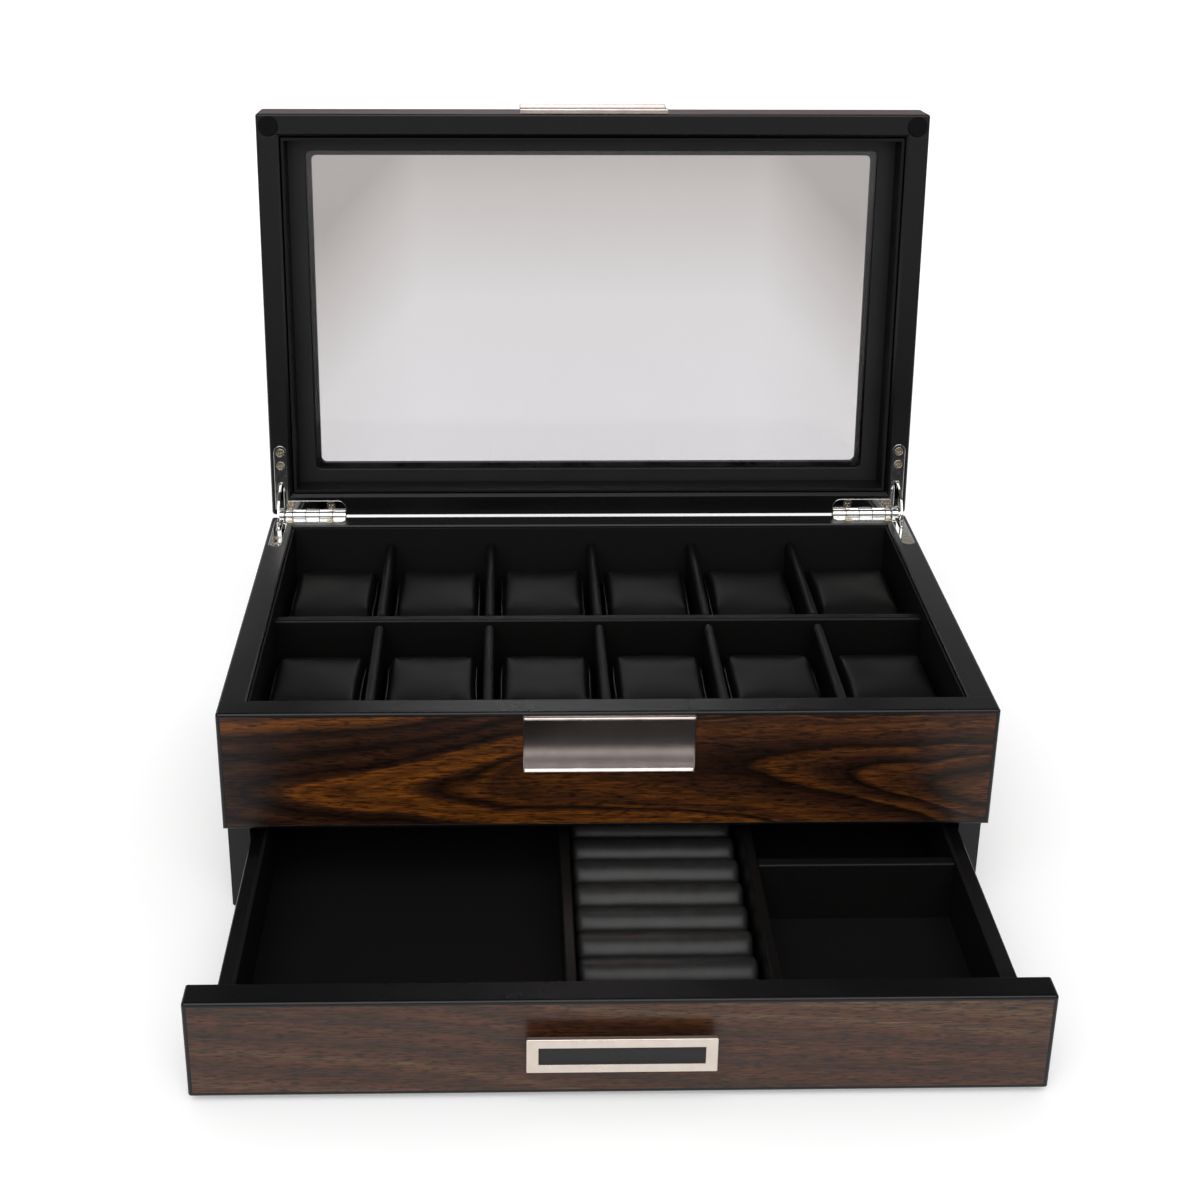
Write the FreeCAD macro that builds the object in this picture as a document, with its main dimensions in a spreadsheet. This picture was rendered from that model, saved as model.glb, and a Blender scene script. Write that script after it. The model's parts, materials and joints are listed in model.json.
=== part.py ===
import FreeCAD, Part
import math
import os
import re

# Every size of the box, in millimetres and degrees.
size = {
    # case
    "case_width": 340.0,
    "case_depth": 212.0,
    "case_height": 106.5,  # from the rim to the underside of the boards
    "base_felt": 1.5,
    "felt_inset": 4.0,
    "wall": 12.0,  # width of the black rim
    "bay_relief": 2.0,  # how much thinner the sides are beside the drawer
    "edge_round": 1.2,
    "rim_bevel": 0.7,
    "veneer": 0.6,
    "border": 1.9,  # black edge left round every veneered face
    "front_height": 58.0,
    "bottom_board": 6.3,
    "overrun": 1.0,  # how far a cutter runs past what it cuts
    # watch tray
    "tray_floor": 4.0,
    "floor_lining": 1.2,
    "tray_lining": 1.0,
    "lining_gap": 0.4,
    "lining_drop": 1.0,
    "row_divider": 5.6,
    "row_drop": 7.4,
    "row_round": 1.2,
    "column_divider": 4.6,
    "column_drop": 8.6,
    "column_corner": 4.0,
    "column_round": 2.1,
    "columns": 6,
    "pillow_side_gap": 1.9,  # between a pillow and the divider beside it
    "pillow_end_gap": 5.9,  # between a pillow and the ends of its cell
    "pillow_height": 38.3,
    "pillow_corner": 15.0,
    "pillow_shoulder": 7.0,
    "pillow_draw": 4.0,
    "pillow_crown": 0.7,
    "pillow_clear": 0.2,
    # metal plates on the front
    "plate_width": 74.8,
    "plate_height": 27.5,
    "plate_inset": 1.2,
    "plate_thickness": 2.8,
    "plate_scoop": 1.5,
    "plate_lip": 1.3,
    "plate_round": 0.9,
    "lid_plate_inset": 0.4,
    # lid
    "lid_height": 23.8,
    "lid_gap": 1.0,
    "lid_wall": 11.5,
    "lid_round": 1.8,
    "lid_bevel": 1.6,
    "lid_recess": 16.0,
    "lid_lining": 1.5,
    "lid_lining_gap": 0.6,
    "retainer": 1.5,
    "retainer_step": 2.6,  # how far the retainer stands back from the top frame
    "glass": 3.0,
    "glass_lap": 6.0,
    "frame_side": 25.1,  # from the lid's side to the window
    "frame_end": 23.1,  # from the lid's front or back to the window
    "window_corner": 3.0,
    "bumper_radius": 5.0,
    "bumper_edge": 6.2,
    "bumper_sink": 1.5,
    "bumper_proud": 0.7,
    "bumper_round": 0.6,
    # hinges
    "open_angle": 94.8,
    "hinge_back": 0.3,  # from the back of the case to the axis
    "barrel_radius": 3.0,
    "barrel_inset": 2.0,
    "barrel_clear": 0.3,
    "pin_radius": 1.25,
    "pin_play": 0.05,
    "knuckles": 5,
    "knuckle_gap": 0.15,
    "leaf": 1.2,
    "leaf_inset": 2.0,
    "leaf_span": 37.5,
    "leaf_depth": 7.9,
    "leaf_corner": 4.6,
    "arm_width": 6.8,
    "arm_reach": 38.4,
    "arm_screw_near": 27.5,
    "arm_screw_far": 34.6,
    "cross_screw_outer": 10.2,
    "cross_screw_inner": 31.5,
    "cross_screw_back": 5.6,
    "screw_head": 2.1,
    "screw_shank": 0.9,
    "screw_length": 8.0,
    "screw_slot": 0.5,
    "slot_width": 2.2,
    "slot_near": 3.7,
    "slot_far": 18.0,
    "stay_radius": 16.3,
    "stay_width": 2.6,
    "stay_thickness": 1.2,
    "stay_overlap": 9.0,  # angle that the stay runs past each leaf
    "hook": 1.6,
    "hook_angle": 3.5,
    "pocket_clear": 0.6,
    # drawer
    "drawer_out": 116.9,
    "drawer_gap": 2.5,
    "drawer_front": 11.8,
    "front_board_rise": 1.3,  # from the underside of the boards to the drawer's front board
    "drawer_side": 5.5,
    "drawer_play": 1.4,
    "drawer_drop": 4.5,  # from the top of the front board to the top of the sides
    "drawer_back_gap": 2.0,
    "drawer_bottom": 3.0,
    "bottom_rise": 0.9,
    "groove": 2.0,
    "drawer_lining": 1.7,
    "ring_bay_left": -16.7,
    "ring_bay_right": 60.6,
    "long_divider": 4.7,
    "cross_divider": 5.7,
    "cross_place": 100.9,  # from the front of the drawer
    "divider_drop": 1.0,
    "divider_round": 0.8,
    "ring_rolls": 9,
    "roll_front_gap": 6.1,
    "roll_back_gap": 11.6,
    "roll_height": 18.0,
    "roll_foot": 2.4,
    "roll_gap": 0.3,
    "roll_clear": 0.5,
    "roll_shoulder": 3.5,
    "roll_draw": 2.2,
    "roll_crown": 0.2,
    "runner": 0.8,
    "runner_width": 8.5,
    "runner_clear": 0.3,
    "stop_travel": 150.0,
    "stop_width": 90.0,
    "stop_depth": 8.0,
    "stop_height": 6.0,
    "stop_catch": 1.6,
    # drawer handle
    "handle_width": 74.3,
    "handle_height": 15.8,
    "handle_plate": 2.0,
    "handle_stand": 7.5,  # from the drawer to the face of the handle
    "handle_rise": 1.7,  # above the middle of the drawer front
    "handle_end": 4.7,
    "handle_edge": 3.9,
    "handle_round": 0.5,
    "inlay": 0.8,
    "inlay_sink": 0.6,
    "post_radius": 3.0,
    "post_edge": 8.0,
}

doc = FreeCAD.newDocument("watch_box")
sheet = doc.addObject("Spreadsheet::Sheet", "sizes")
for line, (alias, number) in enumerate(size.items(), start=1):
    sheet.set(f"A{line}", str(number))
    sheet.setAlias(f"A{line}", alias)
doc.recompute()

nodes = {}  # the finished pieces by name


# Ways to build with the sizes


def formula(text):
    """The same formula with every size in it taken from the sheet."""
    return re.sub(
        "[a-z_]+",
        lambda word: f"sizes.{word.group()}" if word.group() in size else word.group(),
        text,
    )


def value(text):
    """The number that a formula gives."""
    return float(sheet.evalExpression(formula(text)))


def bind(thing, **formulas):
    for name, text in formulas.items():
        thing.setExpression(name, formula(text))
    return thing


def place(thing, x, y, z):
    for axis, text in zip("xyz", (x, y, z)):
        thing.setExpression(f"Placement.Base.{axis}", formula(text))
    return thing


def turned(thing, axis, angle):
    thing.Placement = FreeCAD.Placement(
        FreeCAD.Vector(), FreeCAD.Rotation(FreeCAD.Vector(*axis), angle)
    )
    return thing


def box(x, y, z):
    """A block, given by its low and high side along each axis."""
    block = doc.addObject("Part::Box", "block")
    bind(
        block,
        Length=f"({x[1]}) - ({x[0]})",
        Width=f"({y[1]}) - ({y[0]})",
        Height=f"({z[1]}) - ({z[0]})",
    )
    return place(block, x[0], y[0], z[0])


TURN = {"x": ((0, 1, 0), 90), "y": ((1, 0, 0), -90), "z": ((0, 0, 1), 0)}


def cylinder(radius, length, start, along="z"):
    """A round bar from its start point along one axis."""
    bar = doc.addObject("Part::Cylinder", "bar")
    bind(bar, Radius=radius, Height=length)
    return place(turned(bar, *TURN[along]), *start)


def cut(base, *tools):
    for tool in tools:
        result = doc.addObject("Part::Cut", "cut")
        result.Base = base
        result.Tool = tool
        base = result
    return base


def fuse(*things):
    result = doc.addObject("Part::MultiFuse", "fuse")
    result.Shapes = list(things)
    result.Refine = True
    return result


def group(*things):
    """Separate solids kept as one thing."""
    result = doc.addObject("Part::Compound", "group")
    result.Links = list(things)
    return result


def mirrored(thing):
    """The same thing on the other side of the box."""
    result = doc.addObject("Part::Mirroring", "mirror")
    result.Source = thing
    result.Normal = FreeCAD.Vector(1, 0, 0)
    return result


def both(thing):
    return group(thing, mirrored(thing))


def copy(thing, x, y, z):
    return place(group(thing), x, y, z)


SIDES = {
    "left": ("X", "XMin"),
    "right": ("X", "XMax"),
    "front": ("Y", "YMin"),
    "back": ("Y", "YMax"),
    "bottom": ("Z", "ZMin"),
    "top": ("Z", "ZMax"),
}


def on_side(edge, bounds, side):
    axis, limit = SIDES[side]
    level = getattr(bounds, limit)
    return all(abs(getattr(point, axis) - level) < 1e-4 for point in edge.Vertexes)


def round_edges(thing, radius, wanted):
    """Rounds each edge for which wanted(edge, bounds) holds."""
    doc.recompute()
    shape = thing.Shape
    result = doc.addObject("Part::Fillet", "rounded")
    result.Base = thing
    result.Edges = [
        (number, value(radius), value(radius))
        for number, edge in enumerate(shape.Edges, start=1)
        if wanted(edge, shape.BoundBox)
    ]
    return result


def rounded(thing, radius, *corners):
    """Rounds the edges at the named corners, each named by the sides that meet there."""

    def at_corner(edge, bounds):
        return any(
            all(on_side(edge, bounds, side) for side in corner.split()) for corner in corners
        )

    return round_edges(thing, radius, at_corner)


def flared(x, y, z, flare, opens):
    """A block whose four sides flare outwards, towards its top or its bottom."""
    low, high = ("0", flare) if opens == "top" else (flare, "0")
    block = doc.addObject("Part::Wedge", "flare")
    bind(
        block,
        Ymin="0",
        Ymax=f"({z[1]}) - ({z[0]})",
        Xmin=f"({x[0]}) - {low}",
        Xmax=f"({x[1]}) + {low}",
        Zmin=f"-({y[1]}) - {low}",
        Zmax=f"-({y[0]}) + {low}",
        X2min=f"({x[0]}) - {high}",
        X2max=f"({x[1]}) + {high}",
        Z2min=f"-({y[1]}) - {high}",
        Z2max=f"-({y[0]}) + {high}",
    )
    return place(turned(block, (1, 0, 0), 90), "0", "0", z[0])


def floor_sheet(x, y, low, thickness, gap="0"):
    """A sheet that fills a rectangle but for a gap all round."""
    return box(
        (f"{x[0]} + {gap}", f"{x[1]} - {gap}"),
        (f"{y[0]} + {gap}", f"{y[1]} - {gap}"),
        (low, f"{low} + {thickness}"),
    )


def wall_boards(x, y, z, thickness, gap="0"):
    """Four thin boards round the inside of a rectangle, a gap away from its walls."""
    left, right = f"({x[0]} + {gap})", f"({x[1]} - {gap})"
    near, far = f"({y[0]} + {gap})", f"({y[1]} - {gap})"
    between = (f"{left} + {thickness}", f"{right} - {thickness}")
    return [
        box((left, between[0]), (near, far), z),
        box((between[1], right), (near, far), z),
        box(between, (near, f"{near} + {thickness}"), z),
        box(between, (f"{far} - {thickness}", far), z),
    ]


# Places that several pieces share, as formulas. The box is laid out shut, with its
# origin at the middle of the underside.
side_x = "(case_width / 2)"
back_y = "(case_depth / 2)"
front_y = f"(-{back_y})"
inner_x = f"({side_x} - wall)"
inner_front = f"({front_y} + wall)"
inner_back = f"({back_y} - wall)"
bay_x = f"({inner_x} + bay_relief)"
rim = "(base_felt + case_height)"
ceiling = f"({rim} - front_height)"
board_top = "(base_felt + bottom_board)"

tray_x = f"({inner_x} - lining_gap - tray_lining)"
tray_front = f"({inner_front} + lining_gap + tray_lining)"
tray_back = f"({inner_back} - lining_gap - tray_lining)"
tray_seat = f"({ceiling} + tray_floor + floor_lining)"
cell_pitch = f"((2 * {tray_x} + column_divider) / columns)"
pillow_width = f"({cell_pitch} - column_divider - 2 * pillow_side_gap)"
pillow_length = f"({tray_back} - row_divider / 2 - 2 * pillow_end_gap)"
columns = int(value("columns"))

lid_bottom = f"({rim} + lid_gap)"
lid_top = f"({lid_bottom} + lid_height)"
lid_inner_x = f"({side_x} - lid_wall)"
lid_inner_y = f"({back_y} - lid_wall)"
window_x = f"({side_x} - frame_side)"
window_y = f"({back_y} - frame_end)"
retainer_z = f"({lid_bottom} + lid_recess)"
glass_z = f"({retainer_z} + retainer)"

hinge_y = f"({back_y} + hinge_back)"
hinge_z = f"({rim} + lid_gap / 2)"

drawer_front_y = f"({front_y} + drawer_front)"
drawer_back_y = f"({inner_back} - drawer_back_gap)"
drawer_x = f"({bay_x} - drawer_play)"
front_board_top = f"({ceiling} - drawer_gap)"
front_board_low = "(base_felt + front_board_rise)"
drawer_low = f"({board_top} + runner + runner_clear)"
drawer_top = f"({front_board_top} - drawer_drop)"
drawer_floor_z = f"({drawer_low} + bottom_rise)"
drawer_floor_top = f"({drawer_floor_z} + drawer_bottom)"
drawer_seat = f"({drawer_floor_top} + floor_lining)"
drawer_inner_x = f"({drawer_x} - drawer_side)"
drawer_inner_back = f"({drawer_back_y} - drawer_side)"
drawer_bay_front = f"({drawer_front_y} + drawer_lining)"
drawer_bay_back = f"({drawer_inner_back} - drawer_lining)"
roll_span = f"({drawer_bay_back} - {drawer_bay_front} - roll_front_gap - roll_back_gap)"
roll_pitch = f"({roll_span} / ring_rolls)"
first_roll = f"({drawer_bay_front} + roll_front_gap + {roll_pitch} / 2)"


# Where a finished piece goes: on the case, the lid, the stays or the drawer


def on_case(label, *things):
    nodes[label] = group(*things)
    nodes[label].Label = label
    return nodes[label]


def swung(label, angle, *things):
    """A piece turned about the hinge axis, as the lid opens by an angle."""
    node = turned(on_case(label, *things), (-1, 0, 0), value("open_angle"))
    bind(node, **{"Placement.Rotation.Angle": angle})
    back = f"{hinge_y} - {hinge_y} * cos({angle}) - {hinge_z} * sin({angle})"
    up = f"{hinge_z} + {hinge_y} * sin({angle}) - {hinge_z} * cos({angle})"
    return place(node, "0", back, up)


def on_lid(label, *things):
    return swung(label, "open_angle", *things)


def on_stay(label, *things):
    return swung(label, "open_angle / 2", *things)


def on_drawer(label, *things):
    return place(on_case(label, *things), "0", "-drawer_out", "0")


# Hinges, laid out on the left: two L-shaped leaves and a curved stay through both

leaf_x = f"(-{side_x} + leaf_inset)"
arm_x = f"({leaf_x} + arm_width / 2)"
barrel_x = f"({leaf_x} + barrel_inset)"
barrel_length = "(leaf_span - barrel_inset)"
leaf_back = f"({hinge_y} - barrel_radius - barrel_clear)"
tab_front = f"({leaf_back} - overrun)"
knuckles = int(value("knuckles"))

screw_places = [
    (arm_x, f"{back_y} - arm_screw_near"),
    (arm_x, f"{back_y} - arm_screw_far"),
    (f"-{side_x} + cross_screw_outer", f"{back_y} - cross_screw_back"),
    (f"-{side_x} + cross_screw_inner", f"{back_y} - cross_screw_back"),
]


def leaf_outline(z):
    """The L of one leaf without its knuckles, between two heights."""
    arm_end = f"({back_y} - arm_reach + arm_width / 2)"
    across = box((leaf_x, f"{leaf_x} + leaf_span"), (f"{back_y} - leaf_depth", leaf_back), z)
    along = box((leaf_x, f"{leaf_x} + arm_width"), (arm_end, f"{back_y} - leaf_depth / 2"), z)
    end = cylinder("arm_width / 2", f"({z[1]}) - ({z[0]})", (arm_x, arm_end, z[0]))
    return fuse(rounded(across, "leaf_corner", "right front"), along, end)


def hinge_bar(radius):
    """A round bar through all the knuckles."""
    return cylinder(radius, barrel_length, (barrel_x, hinge_y, hinge_z), "x")


def knuckle(number, z):
    """One knuckle, with the tab that joins it to its leaf."""
    start = f"({barrel_x} + {barrel_length} * {number} / knuckles + knuckle_gap / 2)"
    length = f"({barrel_length} / knuckles - knuckle_gap)"
    ring = cylinder("barrel_radius", length, (start, hinge_y, hinge_z), "x")
    tab = box((start, f"{start} + {length}"), (tab_front, hinge_y), z)
    return fuse(ring, tab)


def stay_slot(z):
    """The slot for the stay, with round ends."""
    height = f"({z[1]}) - ({z[0]})"
    far = f"({back_y} - slot_far + slot_width / 2)"
    near = f"({back_y} - slot_near - slot_width / 2)"
    across = (f"{arm_x} - slot_width / 2", f"{arm_x} + slot_width / 2")
    ends = [cylinder("slot_width / 2", height, (arm_x, y, z[0])) for y in (far, near)]
    return fuse(box(across, (far, near), z), *ends)


def screw_blank():
    """A countersunk screw with a plain head, its face at the origin."""
    shank = cylinder("screw_shank", "screw_length", ("0", "0", "-screw_length"))
    head = doc.addObject("Part::Cone", "head")
    bind(head, Radius1="screw_shank", Radius2="screw_head", Height="leaf")
    return fuse(shank, place(head, "0", "0", "-leaf"))


def screw():
    """The same screw with a cross in its head."""
    long, narrow = "screw_head * 0.62", "screw_head * 0.13"
    depth = ("-screw_slot", "overrun")
    one = box((f"-{long}", long), (f"-{narrow}", narrow), depth)
    other = box((f"-{narrow}", narrow), (f"-{long}", long), depth)
    return cut(screw_blank(), fuse(one, other))


def at_screw_places(thing, level, head_up):
    """Four of the thing in one hinge leaf, its heads up or down."""
    thing = turned(group(thing), (1, 0, 0), 0 if head_up else 180)
    return [copy(thing, x, y, level) for x, y in screw_places]


def hinge_leaf(z, level, head_up, numbers, bore):
    """One leaf between two heights, with its numbered knuckles and its screw holes."""
    plate = fuse(leaf_outline(z), *[knuckle(number, z) for number in numbers])
    through = (f"{z[0]} - overrun", f"{z[1]} + overrun")
    holes = at_screw_places(screw_blank(), level, head_up)
    return cut(plate, hinge_bar(bore), stay_slot(through), *holes)


half_span = "(open_angle / 2 + stay_overlap)"
hook_radius = "(stay_radius + stay_width / 2 + hook)"
pocket_depth = f"({hook_radius} * sin({half_span}) + pocket_clear)"
pocket_back = f"((stay_radius - stay_width / 2) * cos({half_span}) - pocket_clear)"
pocket_y = (f"{hinge_y} - {hook_radius} - pocket_clear", f"{hinge_y} - {pocket_back}")
pocket_x = (f"{arm_x} - slot_width / 2", f"{arm_x} + slot_width / 2")


def hinge_room(z, level, head_up):
    """What the boards lose to one leaf, its screws, its tabs and the barrel."""
    across = (barrel_x, f"{barrel_x} + {barrel_length}")
    return [
        leaf_outline(z),
        box(across, (tab_front, f"{hinge_y} + overrun"), z),
        hinge_bar("barrel_radius + barrel_clear"),
        *at_screw_places(screw_blank(), level, head_up),
    ]


case_room = hinge_room((f"{rim} - leaf", f"{rim} + overrun"), rim, True)
case_pocket = box(pocket_x, pocket_y, (f"{hinge_z} - {pocket_depth}", f"{rim}"))
lid_room = hinge_room((f"{lid_bottom} - overrun", f"{lid_bottom} + leaf"), lid_bottom, False)
lid_pocket = box(pocket_x, pocket_y, (lid_bottom, f"{hinge_z} + {pocket_depth}"))

case_leaf = hinge_leaf(
    (f"{rim} - leaf", rim), rim, True, range(0, knuckles, 2), "pin_radius + pin_play"
)
lid_leaf = hinge_leaf(
    (lid_bottom, f"{lid_bottom} + leaf"), lid_bottom, False, range(1, knuckles, 2), "pin_radius"
)
on_case("left_case_leaf", case_leaf)
on_case("right_case_leaf", mirrored(case_leaf))
on_lid("left_lid_leaf", lid_leaf)
on_lid("right_lid_leaf", mirrored(lid_leaf))
on_case("case_hinge_screws", both(group(*at_screw_places(screw(), rim, True))))
on_lid("lid_hinge_screws", both(group(*at_screw_places(screw(), lid_bottom, False))))
on_lid("hinge_pins", both(hinge_bar("pin_radius")))


def ring_slice(outer, start, sweep):
    """A slice of the stay's flat ring, lying flat with its angles from the X axis."""
    disc = doc.addObject("Part::Cylinder", "disc")
    bind(disc, Radius=outer, Height="stay_thickness", Angle=sweep)
    bind(disc, **{"Placement.Rotation.Angle": start})
    return cut(disc, cylinder("stay_radius - stay_width / 2", "stay_thickness", ("0", "0", "0")))


# a curved bar with a hook turned outwards at each end
flat_stay = fuse(
    ring_slice("stay_radius + stay_width / 2", f"-{half_span}", f"2 * {half_span}"),
    ring_slice(hook_radius, f"-{half_span}", "hook_angle"),
    ring_slice(hook_radius, f"{half_span} - hook_angle", "hook_angle"),
)
stay = group(flat_stay)
stay.Placement.Rotation = FreeCAD.Rotation(
    FreeCAD.Vector(0, -1, 0), FreeCAD.Vector(0, 0, 1), FreeCAD.Vector(-1, 0, 0), "ZXY"
)
place(stay, f"{arm_x} + stay_thickness / 2", hinge_y, hinge_z)
on_stay("left_stay", stay)
on_stay("right_stay", mirrored(stay))


# Case: black boards, with veneer let into the outer faces

rim_bevel = flared(
    (f"-{inner_x}", inner_x),
    (inner_front, inner_back),
    (f"{rim} - rim_bevel", rim),
    "rim_bevel",
    "top",
)

front_sheet = box(
    (f"-{side_x} + border", f"{side_x} - border"),
    (front_y, f"{front_y} + veneer"),
    (f"{ceiling} + border", f"{rim} - border"),
)
front_board = rounded(
    box((f"-{side_x}", side_x), (front_y, inner_front), (ceiling, rim)),
    "edge_round",
    "top front",
    "top left",
    "top right",
    "front left",
    "front right",
    "bottom front",
)
on_case("front_panel", cut(front_board, front_sheet, rim_bevel))
on_case("front_veneer", front_sheet)

side_sheet = box(
    (f"-{side_x}", f"-{side_x} + veneer"),
    (f"{inner_front} + border", f"{back_y} - border"),
    ("base_felt + border", f"{rim} - border"),
)
side_board = rounded(
    box((f"-{side_x}", f"-{inner_x}"), (inner_front, back_y), ("base_felt", rim)),
    "edge_round",
    "top left",
    "top back",
    "left back",
    "left bottom",
)
drawer_bay = box(
    (f"-{bay_x}", f"-{inner_x} + overrun"),
    (f"{inner_front} - overrun", inner_back),
    ("base_felt - overrun", ceiling),
)
case_side = cut(side_board, side_sheet, drawer_bay, case_pocket, rim_bevel, *case_room)
on_case("case_left_side", case_side)
on_case("case_right_side", mirrored(case_side))
on_case("side_veneers", both(side_sheet))

back_board = rounded(
    box((f"-{inner_x}", inner_x), (inner_back, back_y), ("base_felt", rim)),
    "edge_round",
    "top back",
    "bottom back",
)
on_case("case_back", cut(back_board, rim_bevel, *case_room, *[mirrored(t) for t in case_room]))

bay = ((f"-{bay_x}", bay_x), (inner_front, inner_back))
on_case("bottom_board", floor_sheet(*bay, "base_felt", "bottom_board"))
felt_edge = ((f"-{side_x}", side_x), (inner_front, back_y))
on_case("base_felt", floor_sheet(*felt_edge, "0", "base_felt", "felt_inset"))
runner = box((f"-{bay_x}", f"-{bay_x} + runner_width"), bay[1], (board_top, f"{board_top} + runner"))
on_case("drawer_runners", both(runner))


# Watch tray: floor with the block under it that stops the drawer, lining and dividers

tray = ((f"-{inner_x}", inner_x), (inner_front, inner_back))
stop_back = f"({drawer_back_y} - drawer_side - stop_travel)"
drawer_stop = box(
    ("-stop_width / 2", "stop_width / 2"),
    (f"{stop_back} - stop_depth", stop_back),
    (f"{ceiling} - stop_height", ceiling),
)
on_case("tray_floor", floor_sheet(*tray, ceiling, "tray_floor"), drawer_stop)
on_case(
    "tray_lining",
    floor_sheet(*tray, f"{ceiling} + tray_floor", "floor_lining", "lining_gap"),
    *wall_boards(*tray, (tray_seat, f"{rim} - lining_drop"), "tray_lining", "lining_gap"),
)

row_board = box(
    (f"-{tray_x}", tray_x),
    ("-row_divider / 2", "row_divider / 2"),
    (tray_seat, f"{rim} - row_drop"),
)
on_case("row_divider", rounded(row_board, "row_round", "top front", "top back"))


def column_divider(x, y):
    """A divider between two watch cells, round at its top corners and along its top."""
    board = box(
        (f"{x} - column_divider / 2", f"{x} + column_divider / 2"),
        y,
        (tray_seat, f"{rim} - column_drop"),
    )
    board = rounded(board, "column_corner", "top front", "top back")

    def along_top(edge, bounds):
        low = min(point.Z for point in edge.Vertexes)
        beside = on_side(edge, bounds, "left") or on_side(edge, bounds, "right")
        return beside and low > bounds.ZMax - value("column_corner") - 1e-4

    return round_edges(board, "column_round", along_top)


column_boards = [
    column_divider(f"{cell_pitch} * ({number} - columns / 2)", y)
    for number in range(1, columns)
    for y in ((tray_front, "-row_divider / 2"), ("row_divider / 2", tray_back))
]
on_case("column_dividers", *column_boards)


# Soft forms: outlines across X, lofted along X and drawn in at the ends


def closed_outline(*edges):
    outline = doc.addObject("Part::Feature", "outline")
    outline.Shape = Part.Wire([edge.toShape() for edge in edges])
    return outline


def polar(x, centre, radius, degrees):
    """A point on a circle that stands across X."""
    turn = math.radians(degrees)
    y = centre[0] + radius * math.cos(turn)
    return FreeCAD.Vector(x, y, centre[1] + radius * math.sin(turn))


def arc_across(x, centre, radius, start, end):
    angles = (start, (start + end) / 2, end)
    return Part.Arc(*[polar(x, centre, radius, angle) for angle in angles])


def pillow_outline(x, inset):
    """Flat below, round at the front and back, and crowned on top."""
    half = value(pillow_length) / 2 - inset
    height = value("pillow_height") - inset
    corner = value("pillow_corner") - inset
    reach = half - corner
    crown = (reach**2 + height**2 - 2 * height * corner) / (2 * (height - 2 * corner))
    lean = math.degrees(math.atan2(crown + corner - height, reach))
    return closed_outline(
        arc_across(x, (reach, corner), corner, -90, lean),
        arc_across(x, (0, height - crown), crown, lean, 180 - lean),
        arc_across(x, (-reach, corner), corner, 180 - lean, 270),
        Part.LineSegment(FreeCAD.Vector(x, -reach, 0), FreeCAD.Vector(x, reach, 0)),
    )


def roll_outline(x, inset):
    """A round back on sides that draw in to a narrow foot."""
    radius = value(f"({roll_pitch} - roll_gap) / 2") - inset
    height = value("roll_height") - inset
    foot = value("roll_foot")
    rise = height - radius
    draw = radius - foot
    flank = (draw**2 + rise**2) / (2 * draw)
    lean = math.degrees(math.asin(rise / flank))
    return closed_outline(
        arc_across(x, (radius - flank, rise), flank, -lean, 0),
        arc_across(x, (0, rise), radius, 0, 90),
        arc_across(x, (0, rise), radius, 90, 180),
        arc_across(x, (flank - radius, rise), flank, 180, 180 + lean),
        Part.LineSegment(FreeCAD.Vector(x, -foot, 0), FreeCAD.Vector(x, foot, 0)),
    )


def cushion(outline, length, shoulder, draw, crown):
    """A loft along X that swells by the crown and turns down to a seam at both ends."""
    flat = length / 2 - shoulder
    half = [(flat * share, crown * share**2) for share in (0, 0.5, 1)]
    steps = 4
    for step in range(1, steps + 1):
        turn = math.radians(90 * step / steps)
        inset = crown + (draw - crown) * (1 - math.cos(turn))
        half.append((flat + shoulder * math.sin(turn), inset))
    mirror_half = [(-x, inset) for x, inset in reversed(half[1:])]
    form = doc.addObject("Part::Loft", "cushion")
    form.Sections = [outline(x, inset) for x, inset in mirror_half + half]
    form.Solid = True
    form.Ruled = True
    return form


pillow = cushion(
    pillow_outline,
    value(pillow_width),
    value("pillow_shoulder"),
    value("pillow_draw"),
    value("pillow_crown"),
)
cell_middle = f"((row_divider / 2 + {tray_back}) / 2)"
for number in range(2 * columns):
    column, row = number % columns, number // columns
    node = on_case(f"watch_pillow_{number + 1}", pillow)
    x = f"{cell_pitch} * ({column} + 0.5 - columns / 2)"
    place(node, x, f"{2 * row - 1} * {cell_middle}", f"{tray_seat} + pillow_clear")


# Metal plates on the front of the case and of the lid


def scooped_plate(low, high):
    """A plate on the front with a shallow hollow worn across it for the fingers."""
    half = "(plate_width / 2)"
    face = f"({front_y} - plate_thickness)"
    plate = rounded(
        box((f"-{half}", half), (face, front_y), (low, high)),
        "plate_round",
        "front left",
        "front right",
        "top front",
        "bottom front",
    )
    rise = f"(({high} - ({low})) / 2 - plate_lip)"
    radius = f"(({rise} ^ 2 + plate_scoop ^ 2) / (2 * plate_scoop))"
    start = (f"-{half} - overrun", f"{face} + plate_scoop - {radius}", f"({high} + {low}) / 2")
    return cut(plate, cylinder(radius, f"2 * ({half} + overrun)", start, "x"))


plate_top = f"({rim} - plate_inset)"
on_case("front_plate", scooped_plate(f"({plate_top} - plate_height)", plate_top))
on_lid(
    "lid_plate",
    scooped_plate(f"({lid_bottom} + lid_plate_inset)", f"({lid_top} - lid_plate_inset)"),
)


# Lid: four walls, a top frame with the window, glass, retainer, lining and veneer

lid_bevel = flared(
    (f"-{lid_inner_x}", lid_inner_x),
    (f"-{lid_inner_y}", lid_inner_y),
    (lid_bottom, f"{lid_bottom} + lid_bevel"),
    "lid_bevel",
    "bottom",
)


def window_block(margin, z):
    """A block as large as the window and a margin, with round corners."""
    block = box(
        (f"-{window_x} - {margin}", f"{window_x} + {margin}"),
        (f"-{window_y} - {margin}", f"{window_y} + {margin}"),
        z,
    )
    return rounded(block, "window_corner", "left front", "left back", "right front", "right back")


strip_window = window_block("border", (f"{lid_top} - veneer - overrun", f"{lid_top} + overrun"))


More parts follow.
